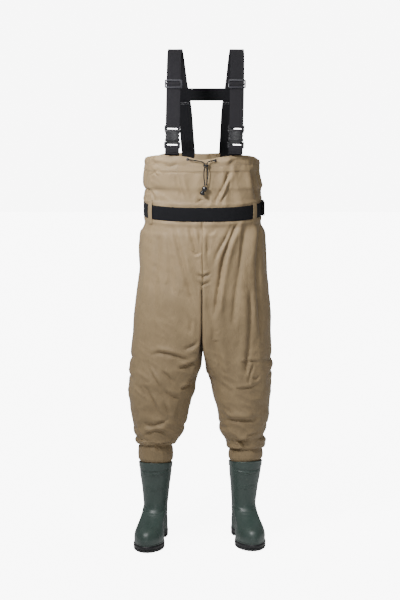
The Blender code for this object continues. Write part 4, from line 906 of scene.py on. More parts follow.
def webbing(name, colour, rib):
    """Woven webbing: ribs across its width, fine threads along it and worn patches, with painted shade
    darkening the grooves between the ribs and threads.
    """
    look = Look(name, 0.78, Sheen_Weight=0.03, Sheen_Roughness=0.4, Specular_IOR_Level=0.16)
    where = look.place("UV")
    ribs = look.wave(where, rib, "Y", distortion=0.25)
    threads = look.wave(where, 0.0012, "X")
    # Painted shade: the colour is darker in the grooves of the ribs and threads, on top of the worn patches'
    # random tone.
    shade = look.math("MULTIPLY", ribs, look.math("ADD", look.math("MULTIPLY", threads, 0.35), 0.65))
    worn = look.math("MULTIPLY_ADD", look.noise(look.place(), 0.014, 4.0, 0.6), 0.35)
    mix = look.math("ADD", look.math("MULTIPLY", shade, 0.65), worn)
    look.tint(mix, colour, (0.05, 0.50), (0.55, 1.0), (0.95, 1.55))
    look.bump(ribs, 0.00040, 0.8)
    look.bump(threads, 0.00012, 0.5)
    return look.material


def moulded_plastic(name, colour, roughness):
    """Injection-moulded nylon: a fine spark texture with handled, glossier patches."""
    look = Look(name, roughness, Specular_IOR_Level=0.55)
    where = look.place()
    look.tint(look.noise(where, 0.006, 3.0), colour, (0.3, 0.85), (0.7, 1.2))
    rub = look.noise(where, 0.0045, 3.0, 0.6)
    look.rough(rub, (0.3, roughness * 0.8), (0.7, roughness * 1.25))
    look.bump(look.noise(where, 0.0005, 2.0), 0.00005, 0.6)
    return look.material


def felt(name, colour):
    look = Look(name, 0.92, Sheen_Weight=0.3)
    fibres = look.noise(look.place(), 0.0012, 6.0, 0.75)
    look.tint(fibres, colour, (0.3, 0.7), (0.7, 1.3))
    look.bump(fibres, 0.0004, 0.7)
    return look.material


def braided_cord(name, colour):
    """A round braided cord: two sets of strands crossing on the slant, with painted shade darkening the
    grooves between the strands.
    """
    look = Look(name, 0.66, Specular_IOR_Level=0.3)
    one = look.wave(look.place("UV", turn=math.radians(38)), 0.0016, "X")
    two = look.wave(look.place("UV", turn=math.radians(-38)), 0.0016, "X")
    braid = look.math("MAXIMUM", one, two)
    # Painted shade: the braid's relief also darkens the colour between the strands.
    look.tint(braid, colour, (0.35, 0.5), (0.9, 1.5))
    look.bump(braid, 0.00030, 0.8)
    return look.material


def dark_metal(name, colour):
    look = Look(name, 0.30, Metallic=0.9)
    where = look.place()
    look.tint(look.noise(where, 0.002, 3.0), colour, (0.3, 0.8), (0.7, 1.5))
    look.rough(look.noise(where, 0.0012, 4.0), (0.3, 0.22), (0.7, 0.42))
    look.bump(look.noise(where, 0.0006, 2.0), 0.00003, 0.4)
    return look.material


def thread(name, colour):
    look = Look(name, 0.70, Sheen_Weight=0.2)
    twist = look.wave(look.place(turn=math.radians(40)), 0.0005, "X")
    # Painted shade: the twist's relief also darkens the colour in its grooves.
    look.tint(twist, colour, (0.2, 0.7), (0.8, 1.15))
    look.bump(twist, 0.0001, 0.6)
    return look.material


TAN = (0.225, 0.161, 0.086)
# Each look's kind of surface, its colour, and what else that kind takes
SURFACES = {
    "tan_coated_cloth": (coated_cloth, TAN),
    "tan_tape": (coated_cloth, tinted(TAN, 0.97)),
    "green_boot_rubber": (moulded_boot, (0.037, 0.058, 0.050)),
    "black_sole_rubber": (rubber, (0.012, 0.012, 0.014)),
    "grey_insole_felt": (felt, (0.10, 0.10, 0.10)),
    "charcoal_webbing": (webbing, (0.0068, 0.0064, 0.0078), 0.0022),
    "black_elastic_webbing": (webbing, (0.0030, 0.0030, 0.0040), 0.0016),
    "black_buckle_plastic": (moulded_plastic, (0.004, 0.004, 0.0055), 0.30),
    "slate_slider_plastic": (moulded_plastic, (0.017, 0.017, 0.022), 0.30),
    "black_cord": (braided_cord, (0.005, 0.005, 0.006)),
    "black_toggle_plastic": (moulded_plastic, (0.004, 0.004, 0.005), 0.24),
    "black_eyelet_metal": (dark_metal, (0.060, 0.060, 0.064)),
    "tan_thread": (thread, tinted(TAN, 0.62)),
    "grey_thread": (thread, (0.150, 0.150, 0.160)),
}
LOOKS = {name: kind(name, *values) for name, (kind, *values) in SURFACES.items()}


def finished(obj, look, *nodes):
    """Gives a piece its material, slot and body, and hides the CAD nodes that it stands for."""
    obj.data.materials.clear()
    obj.data.materials.append(LOOKS[look])
    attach(obj, "root")
    if nodes:
        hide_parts(*nodes)
    return obj


def repainted(node, slot):
    """Gives a CAD node that stays its detailed material."""
    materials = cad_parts[node].data.materials
    materials.clear()
    materials.append(LOOKS[slot])


# The boots and their soles

# Half widths of the sole's outline on each side of its middle line, as shares of half the ball width.
SOLE_PLAN = Table(
    "along inner outer",
    [
        (0.00, 0.90, 0.90),
        (0.15, 0.88, 0.89),
        (0.35, 0.56, 0.78),
        (0.50, 0.70, 0.93),
        (0.68, 1.00, 1.08),
        (0.82, 1.03, 1.09),
        (0.93, 0.92, 0.96),
        (1.00, 0.76, 0.78),
    ],
)

# Height of the top of the sole, by the share of the way from heel to toe.
SOLE_TOP = Table(
    "along height",
    [(0.00, 0.0320), (0.20, 0.0300), (0.45, 0.0275), (0.70, 0.0255), (0.88, 0.0262), (1.00, 0.0280)],
)

# Rows of the foot, as shares: reach of the sole's length, rise of the boot's height over the sole,
# width of the ball's width. "foot" is how much the row has of the sole's outline.
FOOT = [
    # front, back, front rise, back rise, width, taper, foot
    (0.709, 0.265, 0.000, 0.000, 0.940, 0.00, 1.00),
    (0.716, 0.271, 0.058, 0.048, 0.960, 0.00, 1.00),
    (0.706, 0.270, 0.108, 0.100, 0.960, 0.03, 1.00),
    (0.668, 0.264, 0.155, 0.160, 0.945, 0.12, 1.00),
    (0.590, 0.254, 0.186, 0.212, 0.955, 0.22, 0.92),
    (0.480, 0.242, 0.208, 0.262, 0.965, 0.27, 0.76),
    (0.360, 0.228, 0.234, 0.312, 0.930, 0.24, 0.50),
    (0.268, 0.216, 0.272, 0.364, 0.865, 0.15, 0.24),
]

# Rows of the shaft, as shares: reach of half the rim's depth, height of the boot's height,
# width of the rim's width.
SHAFT = [
    # front, back, front height, back height, width
    (1.010, 0.950, 0.392, 0.515, 0.740),
    (0.880, 0.900, 0.465, 0.565, 0.770),
    (0.845, 0.880, 0.565, 0.625, 0.812),
    (0.865, 0.900, 0.685, 0.705, 0.862),
    (0.925, 0.945, 0.805, 0.795, 0.938),
    (0.975, 0.980, 0.905, 0.870, 0.985),
    (0.995, 0.995, 0.965, 0.925, 0.998),
    (1.000, 1.000, 1.030, 0.970, 1.000),
]


def sole_outline(turn):
    """Points of the outline in the boot's own frame, toes to -Y. turn is 0 at the toe, pi at the heel."""
    along = (1 + np.cos(turn)) / 2
    row = SOLE_PLAN.at(along)
    rounding = np.abs(np.sin(turn)) ** 0.75
    half = np.where(np.sin(turn) < 0, row["inner"], row["outer"]) * rounding * BALL_WIDTH / 2
    y = mixed(HEEL_BEHIND, HEEL_BEHIND - SOLE_LENGTH, along)
    return np.sign(np.sin(turn)) * half, y, along


def foot_row(turn, row, follow):
    front, back, front_rise, back_rise, width, taper, foot = row
    x, _, along = sole_outline(turn)
    x = mixed(np.sin(turn) * BALL_WIDTH / 2, x, foot) * width * (1 - taper * along)
    y = mixed(back, -front, along) * SOLE_LENGTH
    top = SOLE_TOP.at(along)["height"]
    straight = mixed(SOLE_TOP.at(0.0)["height"], SOLE_TOP.at(1.0)["height"], along)
    z = straight + (top - straight) * follow + mixed(back_rise, front_rise, along) * BOOT_HEIGHT
    return np.column_stack([x, y, z + GAP])


def shaft_row(side, turn, row):
    front, back, front_height, back_height, width = row
    along = (1 + np.cos(turn)) / 2
    height = mixed(back_height, front_height, along)
    x = np.sin(turn) * RIM_WIDTH / 2 * width + leaned(side, height)
    return np.column_stack([x, mixed(back, -front, along) * RIM_DEPTH / 2, height * BOOT_HEIGHT])


def band(value, middle, half, edge):
    """1 within half of the middle, falling to 0 over the edge's width."""
    return 1 - eased(half, half + edge, np.abs(value - middle))


def boot_relief(points, turn):
    """The collar, the ribs, the ankle's crease and the toe cap, raised on the boot's outside."""
    x, y, z = points.T
    front = np.clip(np.cos(turn), 0, 1)
    rim = BOOT_HEIGHT * (1 + RIM_SLOPE * np.cos(turn))
    below = rim - z
    collar = 0.0020 * (1 - eased(0, 0.0016, below - COLLAR_HEIGHT - 0.0125 * front**2))
    lip = 0.0011 * peaked(below - 0.0028, 0.0024)
    curve = below - 0.0300 - 0.0130 * front**3
    smile = 0.0016 * peaked(curve, 0.0019) * eased(0.45, 0.75, front)
    ribs = np.zeros(len(points))
    for start in (0.2515, 0.1955):
        for step in range(3):
            line = peaked(z - start - step * 0.0056, 0.0015)
            ribs += 0.0015 * line * eased(0.55, 0.85, front)
    ankle = 0.128 - 0.022 * front + 0.14 * x**2 / BALL_WIDTH
    crease = peaked(z - ankle, 0.0034) * eased(0.1, 0.6, front)
    above = peaked(z - ankle - 0.0095, 0.0055) * eased(0.2, 0.7, front)
    edge = HEEL_BEHIND - SOLE_LENGTH + TOE_CAP
    cap = 0.0022 * (1 - eased(-0.0012, 0.0012, y + 0.12 * z - edge + 2.6 * x**2))
    cap *= eased(0.004, 0.007, z - SOLE_TOP.at(1.0)["height"])
    toe = peaked(x, 0.014) * eased(0.6, 0.9, front)
    ticks = sum(peaked(z - at, 0.0013) for at in (0.0425, 0.0485)) * toe * 0.0013
    foxing = 0.0012 * band(z - SOLE_TOP.at((1 + np.cos(turn)) / 2)["height"], 0.0015, 0.0025, 0.0008)
    return collar + lip + smile + ribs - 0.0020 * crease + 0.0012 * above + cap + ticks + foxing


def build_boot(side):
    turn = np.linspace(0, 2 * math.pi, BOOT_COLUMNS, endpoint=False)
    rows = [foot_row(turn, row, 1 - i / len(FOOT)) for i, row in enumerate(FOOT)]
    rows += [shaft_row(side, turn, row) for row in SHAFT]
    rows = np.array(rows)
    keys = np.arange(len(rows), dtype=float)
    names = " ".join("c%d" % i for i in range(1 + rows[0].size))
    table = Table(names, np.column_stack([keys, rows.reshape(len(rows), -1)]))
    where = np.linspace(0, keys[-1], BOOT_ROWS)
    values = np.array([list(table.at(w).values())[1:] for w in where])
    grid = values.reshape(len(where), BOOT_COLUMNS, 3)
    normals = grid_normals(grid, closed=True)
    moved = boot_relief(grid.reshape(-1, 3), np.tile(turn, len(where))).reshape(grid.shape[:2])
    grid = grid + normals * moved[..., None]
    grid[..., 0] *= SIDES[side]
    girth = RIM_DEPTH * 3
    uvs = np.stack(np.meshgrid(np.linspace(0, girth, BOOT_COLUMNS), where * 0.02), axis=-1)
    faces = grid_faces(len(where), BOOT_COLUMNS, closed=True, flip=side == "right")
    boot = grid_mesh("rubber_boot_" + side, grid, faces, uvs)
    boot.data.transform(boot_matrix(side))
    thicken(boot, BOOT_WALL - 0.0004)
    return boot


def bottom_height(along):
    """The sole's underside: flat from the heel to the ball, then rising with the toe spring."""
    return TOE_SPRING * np.clip((along - 0.74) / 0.26, 0, 1) ** 2


def prism(bm, outline, low, high):
    lower = [bm.verts.new((x, y, low)) for x, y in outline]
    upper = [bm.verts.new((x, y, high)) for x, y in outline]
    count = len(outline)
    for k in range(count):
        bm.faces.new((lower[k], lower[(k + 1) % count], upper[(k + 1) % count], upper[k]))
    bm.faces.new(lower[::-1])
    bm.faces.new(upper)


def sole_cutter():
    """The arch and the swept grooves between the lugs."""
    wide = BALL_WIDTH
    breast = HEEL_BEHIND - HEEL_LENGTH
    front = breast - ARCH_LENGTH
    toe = HEEL_BEHIND - SOLE_LENGTH
    centres = list(np.arange(front - LUG_PITCH, toe + LUG_PITCH, -LUG_PITCH))
    centres += list(np.arange(breast + LUG_PITCH * 1.1, HEEL_BEHIND - LUG_PITCH, LUG_PITCH))
    half, sweep = LUG_GROOVE / 2, LUG_SWEEP
    mesh = bpy.data.meshes.new("cutter")
    with editing(mesh) as bm:
        arch = [(-wide, breast), (-wide, front), (wide, front), (wide, breast)]
        prism(bm, arch, -ARCH_HEIGHT, ARCH_HEIGHT)
        for y in centres:
            top = float(bottom_height((HEEL_BEHIND - y) / SOLE_LENGTH)) + LUG_DEPTH
            outline = [(-wide, y + half + sweep), (-wide, y - half + sweep), (0, y - half)]
            outline += [(wide, y - half + sweep), (wide, y + half + sweep), (0, y + half)]
            prism(bm, outline, -LUG_DEPTH, top)
        bmesh.ops.recalc_face_normals(bm, faces=bm.faces)
    return placed("cutter", mesh)


# The side of the sole from the ground up: how far it stands in, where it is between the underside, 0,
# and the top, 1, and how deep the upright notches are.
SOLE_SIDE = [
    (0.0060, 0.00, 0.0),
    (0.0044, 0.00, 0.6),
    (0.0016, 0.07, 1.0),
    (0.0008, 0.16, 1.0),
    (0.0004, 0.40, 1.0),
    (0.0006, 0.45, 0.4),
    (0.0020, 0.48, 0.0),
    (0.0022, 0.53, 0.0),
    (0.0006, 0.56, 0.0),
    (0.0002, 0.60, 0.0),
    (0.0002, 0.86, 0.0),
    (0.0008, 0.90, 0.0),
    (0.0018, 0.93, 0.0),
    (0.0028, 1.00, 0.0),
]
NOTCH = 0.0032


def build_sole(side):
    count = 240
    turn = np.linspace(0, 2 * math.pi, count, endpoint=False)
    toe_or_heel = np.maximum(eased(0.25, 0.5, np.cos(turn)), eased(0.4, 0.6, -np.cos(turn)))
    x, y, along = sole_outline(turn)
    steps = np.hypot(np.diff(x, append=x[:1]), np.diff(y, append=y[:1]))
    travelled = np.cumsum(steps)
    pitches = round(travelled[-1] / 0.0150)
    groove = eased(0.52, 0.80, np.cos(2 * math.pi * pitches * travelled / travelled[-1])) * toe_or_heel
    rows = []
    for inset, share, notched in SOLE_SIDE:
        shrink = (inset + NOTCH * notched * groove) / (BALL_WIDTH / 2)
        middle_y = HEEL_BEHIND - SOLE_LENGTH / 2
        reach_y = middle_y + (y - middle_y) * (1 - shrink * BALL_WIDTH / SOLE_LENGTH)
        height = mixed(bottom_height(along), SOLE_TOP.at(along)["height"], share)
        rows.append(np.column_stack([x * (1 - shrink) * SIDES[side], reach_y, height]))
    faces = grid_faces(len(rows), count, closed=True, flip=side == "right")
    sole = grid_mesh("lugged_sole_" + side, np.array(rows), faces)
    with editing(sole.data) as bm:
        bmesh.ops.holes_fill(bm, edges=[e for e in bm.edges if e.is_boundary], sides=0)
        bmesh.ops.triangulate(bm, faces=[f for f in bm.faces if len(f.verts) > 4])
        bmesh.ops.recalc_face_normals(bm, faces=bm.faces)
    cutter = sole_cutter()
    cut = sole.modifiers.new("lugs", "BOOLEAN")
    cut.object = cutter
    cut.use_self = True
    applied(sole)
    bpy.data.objects.remove(cutter)
    sole.data.transform(boot_matrix(side))
    sole.data.shade_smooth()
    sole.data.set_sharp_from_angle(angle=math.radians(35))
    return sole


# Webbing

# The braces seen from the side and from the front. "go" runs from 0 at the front rim over 1 at the
# shoulder to 2 at the back rim, and "rise" is the share of the way from the rim to the braces' top. Depths
# from the body's middle are shares of the hip depth, and places and spreads across of half the hip width.
BRACE_MIDDLE = Table("go x", [(0.0, 0.0430), (1.0, 0.0755), (2.0, 0.0925)])
BRACE_PATH = Table(
    "go rise y spread",
    [
        (0.00, 0.000, -0.4600, 0.4249),
        (0.22, 0.190, -0.4533, 0.4253),
        (0.45, 0.420, -0.4200, 0.4257),
        (0.66, 0.690, -0.3400, 0.4257),
        (0.82, 0.880, -0.2267, 0.4257),
        (0.92, 0.972, -0.1267, 0.4226),
        (1.00, 1.000, -0.0333, 0.4151),
        (1.08, 0.972, 0.0600, 0.4057),
        (1.18, 0.880, 0.1633, 0.3887),
        (1.36, 0.670, 0.2600, 0.3547),
        (1.56, 0.440, 0.3133, 0.3019),
        (1.78, 0.200, 0.3500, 0.2774),
        (2.00, 0.000, 0.3667, 0.2604),
    ],
)
LOOP_RADIUS = BAR / 2 + GAP + WEB / 2
LAYER = WEB + GAP * 2
SOCKET_BAR = SOCKET_LENGTH - BUCKLE_FRAME / 2
PLUG_BAR = PLUG_LENGTH - BUCKLE_FRAME / 2


def web_section(thickness):
    """The outline of woven webbing cut across, as (share of the width, height): its edges are rolled."""
    steps = 8
    half = thickness / 2
    top = []
    for k in range(steps + 1):
        share = -math.cos(math.pi * k / steps)
        crown = half * (1 - 0.55 * abs(share) ** 14)
        top.append((share, crown))
    return top + [(share, -height) for share, height in reversed(top)]


def ribbon(name, rows, thickness=WEB, step=0.006):
    """Webbing through pairs of edge points, with UVs across and along it in metres."""
    rows = [(Vector(a), Vector(b)) for a, b in rows]
    fine = [rows[0]]
    for (a, b), (c, d) in zip(rows, rows[1:]):
        count = max(1, int(((c + d) / 2 - (a + b) / 2).length / step))
        fine += [(a.lerp(c, k / count), b.lerp(d, k / count)) for k in range(1, count + 1)]
    middles = [(a + b) / 2 for a, b in fine]
    section = web_section(thickness)
    points, uvs, length = [], [], 0.0
    for i, (a, b) in enumerate(fine):
        before, after = middles[max(i - 1, 0)], middles[min(i + 1, len(fine) - 1)]
        across = (b - a).normalized()
        out = across.cross((after - before).normalized()).normalized()
        length += (middles[i] - before).length if i else 0.0
        half = (b - a).length / 2
        for share, height in section:
            points.append(middles[i] + across * share * half + out * height)
            uvs.append((share * half, length))
    count = len(section)
    faces = grid_faces(len(fine), count, closed=True)
    faces.append(tuple(range(count))[::-1])
    faces.append(tuple(len(points) - count + k for k in range(count)))
    obj = grid_mesh(name, points, faces, uvs)
    with editing(obj.data) as bm:
        bmesh.ops.triangulate(bm, faces=[f for f in bm.faces if len(f.verts) > 4])
        bmesh.ops.recalc_face_normals(bm, faces=bm.faces)
    obj.data.set_sharp_from_angle(angle=math.radians(60))
    return obj


def web_loop(radius):
    """Half a turn round a buckle's bar, as (along, out) pairs: along is measured past the bar's middle."""
    turns = [math.pi * k / 12 for k in range(13)]
    half = [(BUCKLE_FRAME / 2 + radius * math.sin(a), radius * math.cos(a)) for a in turns]
    return [(-BUCKLE_FRAME / 2 - GAP, radius), *half, (-BUCKLE_FRAME / 2 - GAP, -radius)]


class Track:
    """A line in space with a facing direction, on which webbing and fittings are placed."""

    def __init__(self, points, across):
        self.points = [Vector(p) for p in points]
        self.across = Vector(across).normalized()
        steps = [(b - a).length for a, b in zip(self.points, self.points[1:])]
        self.lengths = np.concatenate([[0.0], np.cumsum(steps)])

    def frame(self, length):
        """(place, along, across, out) at a length from the start."""
        last = len(self.points) - 2
        i = int(np.clip(np.searchsorted(self.lengths, length, side="right") - 1, 0, last))
        start, end = self.points[i], self.points[i + 1]
        along = (end - start).normalized()
        place = start + along * (length - self.lengths[i])
        across = (self.across - along * self.across.dot(along)).normalized()
        return place, along, across, across.cross(along)

    def length_at_height(self, z):
        """The length at which the line first passes a height."""
        for i, (a, b) in enumerate(zip(self.points, self.points[1:])):
            if min(a.z, b.z) <= z <= max(a.z, b.z) and a.z != b.z:
                return self.lengths[i] + (b - a).length * (z - a.z) / (b.z - a.z)
        raise ValueError("the line doesn't pass that height")

    def edges(self, length, out, width):
        place, _, across, outwards = self.frame(length)
        middle = place + outwards * out
        return middle - across * width / 2, middle + across * width / 2


def brace_track(side):
    """The middle of one brace, from the front rim over the shoulder to the back rim."""
    points = []
    for go in [2.0 * k / 40 for k in range(41)]:
        row = BRACE_PATH.at(go)
        across = BRACE_MIDDLE.at(go)["x"] + SIDES[side] * row["spread"]
        z = mixed(BIB_TOP, BRACE_TOP, row["rise"])
        points.append((across * HIP_WIDTH / 2, BODY_Y + row["y"] * HIP_DEPTH, z))
    return Track(points, (1, 0, 0))


def flattened(track, low, high):
    """The track with a straight stretch between two heights on the way up, for a stiff fitting."""
    at_low, at_high = track.length_at_height(low), track.length_at_height(high)
    before = [p for p, s in zip(track.points, track.lengths) if s < at_low]
    after = [p for p, s in zip(track.points, track.lengths) if s > at_high]
    return Track(before + [track.frame(at_low)[0], track.frame(at_high)[0]] + after, track.across)


def stiffened_track(side):
    """A brace's track, made straight along its buckle, and the length on it where the buckle is split."""
    track = flattened(brace_track(side), BIB_TOP + 0.02, BUCKLE_HEIGHT + SOCKET_LENGTH)
    return track, track.length_at_height(BUCKLE_HEIGHT - (SOCKET_LENGTH - PLUG_LENGTH) / 2)


def bib_wall(z, x, back):
    """A point on the bib's outer face and its outward direction, at a height and a distance across."""
    side = "left" if x >= SLIT_X else "right"
    turns = np.linspace(0, 1, 400)
    line = torso_points(z, turns, side)
    half = line[:, 1] > BODY_Y if back else line[:, 1] <= BODY_Y
    nearest = np.where(half, np.abs(line[:, 0] - x), np.inf).argmin()
    here = line[nearest]
    along = line[min(nearest + 1, 399)] - line[max(nearest - 1, 0)]
    rise = torso_points(z + 0.004, turns[nearest], side) - torso_points(z - 0.004, turns[nearest], side)
    outwards = Vector(np.cross(along, rise)).normalized()
    return Vector(here), outwards if (outwards.y > 0) == back else -outwards


def hem_edges(x, z, back):
    """Both edges of webbing sewn inside the hem."""
    depth = FABRIC + GAP * 1.6 + WEB / 2 + (0.0015 if z < BIB_TOP else 0.0)
    edges = []
    for reach in (-WEB_WIDTH / 2, WEB_WIDTH / 2):
        here, outwards = bib_wall(z, x + reach, back)
        edges.append(Vector((x + reach, here.y, z)) - outwards * depth)
    return edges


def brace_rows(side):
    """The rows of one brace's lower, front and back webbing, and its track."""
    track, split_at = stiffened_track(side)
    slider_at = track.length_at_height(SLIDER_HEIGHT)
    place, along, across, _ = track.frame(slider_at)
    slider_track = Track([place - along * 0.05, place + along * 0.05], across)

    bar_at = split_at - PLUG_BAR
    x = track.frame(0.0)[0].x
    lower = [hem_edges(x, z, False) for z in (BIB_TOP - HEM_OVERLAP, BIB_TOP - HEM_DEPTH * 0.45)]
    lower.append(hem_edges(x, BIB_TOP + RIM_RISE, False))
    lower.append(track.edges(bar_at - 0.018, LOOP_RADIUS * 0.6, WEB_WIDTH))
    lower += [track.edges(bar_at + reach, out, WEB_WIDTH) for reach, out in web_loop(LOOP_RADIUS)]
    for behind in (0.018, 0.024):
        lower.append(track.edges(bar_at - behind, LOOP_RADIUS * 0.6 - LAYER, WEB_WIDTH))

    bar_at = split_at + SOCKET_BAR
    clear = SLIDER_THICK / 2 + GAP + WEB / 2
    top = SLIDER_LENGTH / 2
    front = [track.edges(slider_at, -clear - LAYER, WEB_WIDTH)]
    front.append(track.edges(slider_at - top - 0.010, -clear - LAYER, WEB_WIDTH))
    front.append(track.edges(bar_at + 0.030, LOOP_RADIUS * 0.4 - LAYER, WEB_WIDTH))
    front += [track.edges(bar_at - reach, out, WEB_WIDTH) for reach, out in reversed(web_loop(LOOP_RADIUS))]
    front.append(track.edges(bar_at + 0.030, LOOP_RADIUS * 0.4, WEB_WIDTH))
    front.append(track.edges(slider_at - top - 0.010, -clear, WEB_WIDTH))
    weave = [(-0.0100, -clear), (-0.0032, clear), (0.0032, clear), (0.0100, -clear), (top + 0.003, -clear)]
    front += [slider_track.edges(0.05 + reach, out, WEB_WIDTH) for reach, out in weave]
    seam = CROSSBAR_HEIGHT - CROSSBAR_WIDTH / 2 - 0.012
    shoulder_y = BODY_Y + BRACE_PATH.at(1.0)["y"] * HIP_DEPTH
    for length in np.linspace(slider_at + top + 0.03, track.lengths[-1], 60):
        place = track.frame(length)[0]
        if place.y > shoulder_y and place.z < seam:
            break
        front.append(track.edges(length, 0.0, WEB_WIDTH))
        seam_at = length

    x = track.points[-1].x
    lengths = np.linspace(seam_at - 0.045, track.lengths[-1] - 0.045, 14)
    back = [track.edges(length, -LAYER, WEB_WIDTH) for length in lengths]
    back.append(hem_edges(x, BIB_TOP + RIM_RISE / 2, True))
    back += [hem_edges(x, z, True) for z in (BIB_TOP - HEM_DEPTH * 0.45, BIB_TOP - HEM_OVERLAP)]
    return track, lower, front, back


def crossbar_rows(tracks):
    """The bar between the back straps, lying on their inner faces."""
    lines = []
    for z in (CROSSBAR_HEIGHT - CROSSBAR_WIDTH / 2, CROSSBAR_HEIGHT + CROSSBAR_WIDTH / 2):
        ends = []
        for side in ("right", "left"):
            points = tracks[side].points
            after = next(i for i, p in enumerate(points) if p.y > BODY_Y and p.z < z)
            a, b = points[after - 1], points[after]
            place = a.lerp(b, (z - a.z) / (b.z - a.z))
            ends.append(place + Vector((SIDES[side] * WEB_WIDTH * 0.42, -LAYER * 2 - GAP, 0)))
        lines.append(ends)
    (low_right, low_left), (high_right, high_left) = lines
    return [(low_right.lerp(low_left, s), high_right.lerp(high_left, s)) for s in np.linspace(0, 1, 9)]


def waist_point(turn, side, out, z):
    """A place outside the cloth at the belt, and the way out of it."""
    ends = torso_points(BELT_HEIGHT, np.array([turn - 0.002, turn, turn + 0.002]), side)
    along = ends[2] - ends[0]
    outwards = Vector((along[1], -along[0], 0)).normalized() * SIDES[side]
    here = Vector(ends[1])
    here.z = z
    return here + outwards * out, outwards


def belt_rows():
    """The belt from one bar of its buckle, round the waist, to the other."""
    a, b = (Vector(torso_points(BELT_HEIGHT, turn, "left")) for turn in (0.5, 4 / 7))
    along = (a - b).normalized()
    up = Vector((0, 0, 1))
    outwards = up.cross(along)
    outwards = outwards if outwards.x > 0 else -outwards
    middle = (a + b) / 2 + outwards * (GAP * 2 + WEB + LAYER / 2 + LOOP_RADIUS)
    half_track = 2 * SOCKET_LENGTH
    track = Track([middle - along * half_track, middle + along * half_track], up)
    split_at = half_track - (SOCKET_LENGTH - PLUG_LENGTH) / 2
    facing = 1 if track.frame(0)[3].dot(outwards) > 0 else -1

    def rows_at(length, out):
        return track.edges(length, out * facing, BELT_WIDTH)

    def end_rows(bar_at, way):
        """One end of the belt: its tail, the turn round the buckle's bar, and the run back to the waist."""
        end = ((0.030, 0.4), (0.020, 0.5))
        tail = [rows_at(bar_at + way * reach, LOOP_RADIUS * out) for reach, out in end]
        looped = [rows_at(bar_at - way * reach, -out) for reach, out in web_loop(LOOP_RADIUS)]
        return tail + looped[::-1] + [rows_at(bar_at + way * 0.010, -LOOP_RADIUS)]

    half_round = np.linspace(0, 1, 140)
    turns = [("left", turn) for turn in half_round]
    turns += [("right", turn) for turn in half_round[-2:0:-1]]
    start = next(i for i, (side, turn) in enumerate(turns) if turn > 0.54)
    half = up * BELT_WIDTH / 2
    rows = []
    for side, turn in turns[start:] + turns[:start]:
        here, _ = waist_point(turn, side, GAP * 3 + WEB / 2, belt_middle(turn))
        if (here - middle).length > SOCKET_LENGTH * 0.92:
            rows.append((here - half, here + half))
    return end_rows(split_at - PLUG_BAR, -1) + rows + end_rows(split_at + SOCKET_BAR, 1)[::-1]


def build_belt_loop(name, side, column):
    """A loop of cloth tape over the belt, sewn down above and below it."""
    turn = (column + 0.5) / 14
    outer = WEB + GAP * 5 + FABRIC
    near = GAP * 3 + FABRIC / 2
    belt = BELT_WIDTH / 2
    reach = belt + LOOP_REACH * 0.95
    rises = np.linspace(reach, -reach, 44)
    rows = []
    for rise in rises:
        lifted = 1 - eased(belt - 0.001, belt + LOOP_REACH * 0.5, abs(rise))
        bulge = 0.0016 * math.cos(math.pi * rise / (2 * reach)) ** 2
        swell = 0.0030 * peaked(abs(rise) - belt - 0.010, 0.0075)
        out = mixed(near + swell * 0.8, outer + bulge, float(lifted))
        z = belt_middle(turn) + rise
        edges = []
        for reach_across in (-0.5, 0.5):
            nearby = turn + reach_across * LOOP_WIDTH / (HIP_WIDTH * 1.15)
            edges.append(waist_point(nearby, side, out, z)[0])
        rows.append(edges)
    return ribbon(name, rows, FABRIC * 1.3, step=0.003)


# The buckles, the sliders and the bead: the CAD pieces with worked edges


def detailed_copy(name, node, bevel):
    """A copy of a CAD node's mesh with its edges rounded."""
    copy = placed(name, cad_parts[node].data.copy())
    with editing(copy.data) as bm:
        bmesh.ops.remove_doubles(bm, verts=bm.verts, dist=1e-5)
    rounded = copy.modifiers.new("rounded", "BEVEL")
    rounded.width = bevel
    rounded.segments = 3
    rounded.limit_method = "ANGLE"
    rounded.angle_limit = math.radians(30)
    rounded.harden_normals = False
    applied(copy)
    copy.data.shade_smooth()
    copy.data.set_sharp_from_angle(angle=math.radians(40))
    return copy


# Each front buckle's slots and their ledges: heights from the split line
SLOT_RIMS = {
    "socket": (
        SOCKET_LENGTH * 0.71,
        SOCKET_LENGTH - BUCKLE_FRAME,
        SOCKET_LENGTH * 0.69,
        SOCKET_LENGTH * 0.755,
    ),
    "plug": (-PLUG_LENGTH + BUCKLE_FRAME, -0.0045, -0.0094, -0.0038),
}


def build_slot_rim(name, side, low, high, ledge_low, ledge_high):
    """The thick rim inside a buckle's slot: both ends and a ledge, between heights from its split line."""
    track, split_at = stiffened_track(side)
    place, along, across, out = track.frame(split_at)
    inner, outer = BUCKLE_WIDTH * 0.31, BUCKLE_WIDTH * 0.47
    bars = [(way * inner, way * outer, low - 0.0008, high + 0.0008) for way in (-1, 1)]
    bars.append((-outer, outer, ledge_low, ledge_high))
    mesh = bpy.data.meshes.new(name)
    with editing(mesh) as bm:
        for x0, x1, z0, z1 in bars:
            for vert in bmesh.ops.create_cube(bm, size=1.0)["verts"]:
                x, y, z = vert.co
                vert.co = place + across * mixed(x0, x1, x + 0.5)
                vert.co += out * y * BAR * 0.86
                vert.co += along * mixed(z0, z1, z + 0.5)
        bmesh.ops.recalc_face_normals(bm, faces=bm.faces)
        bmesh.ops.bevel(bm, geom=bm.edges[:], offset=0.0008, segments=3, profile=0.5, affect="EDGES")
    mesh.shade_smooth()
    mesh.set_sharp_from_angle(angle=math.radians(40))
    return placed(name, mesh)


# The drawcord, its eyelets and its toggle

EYELETS = {"left": (0.0530, 1.4203), "right": (-0.0450, 1.4235)}
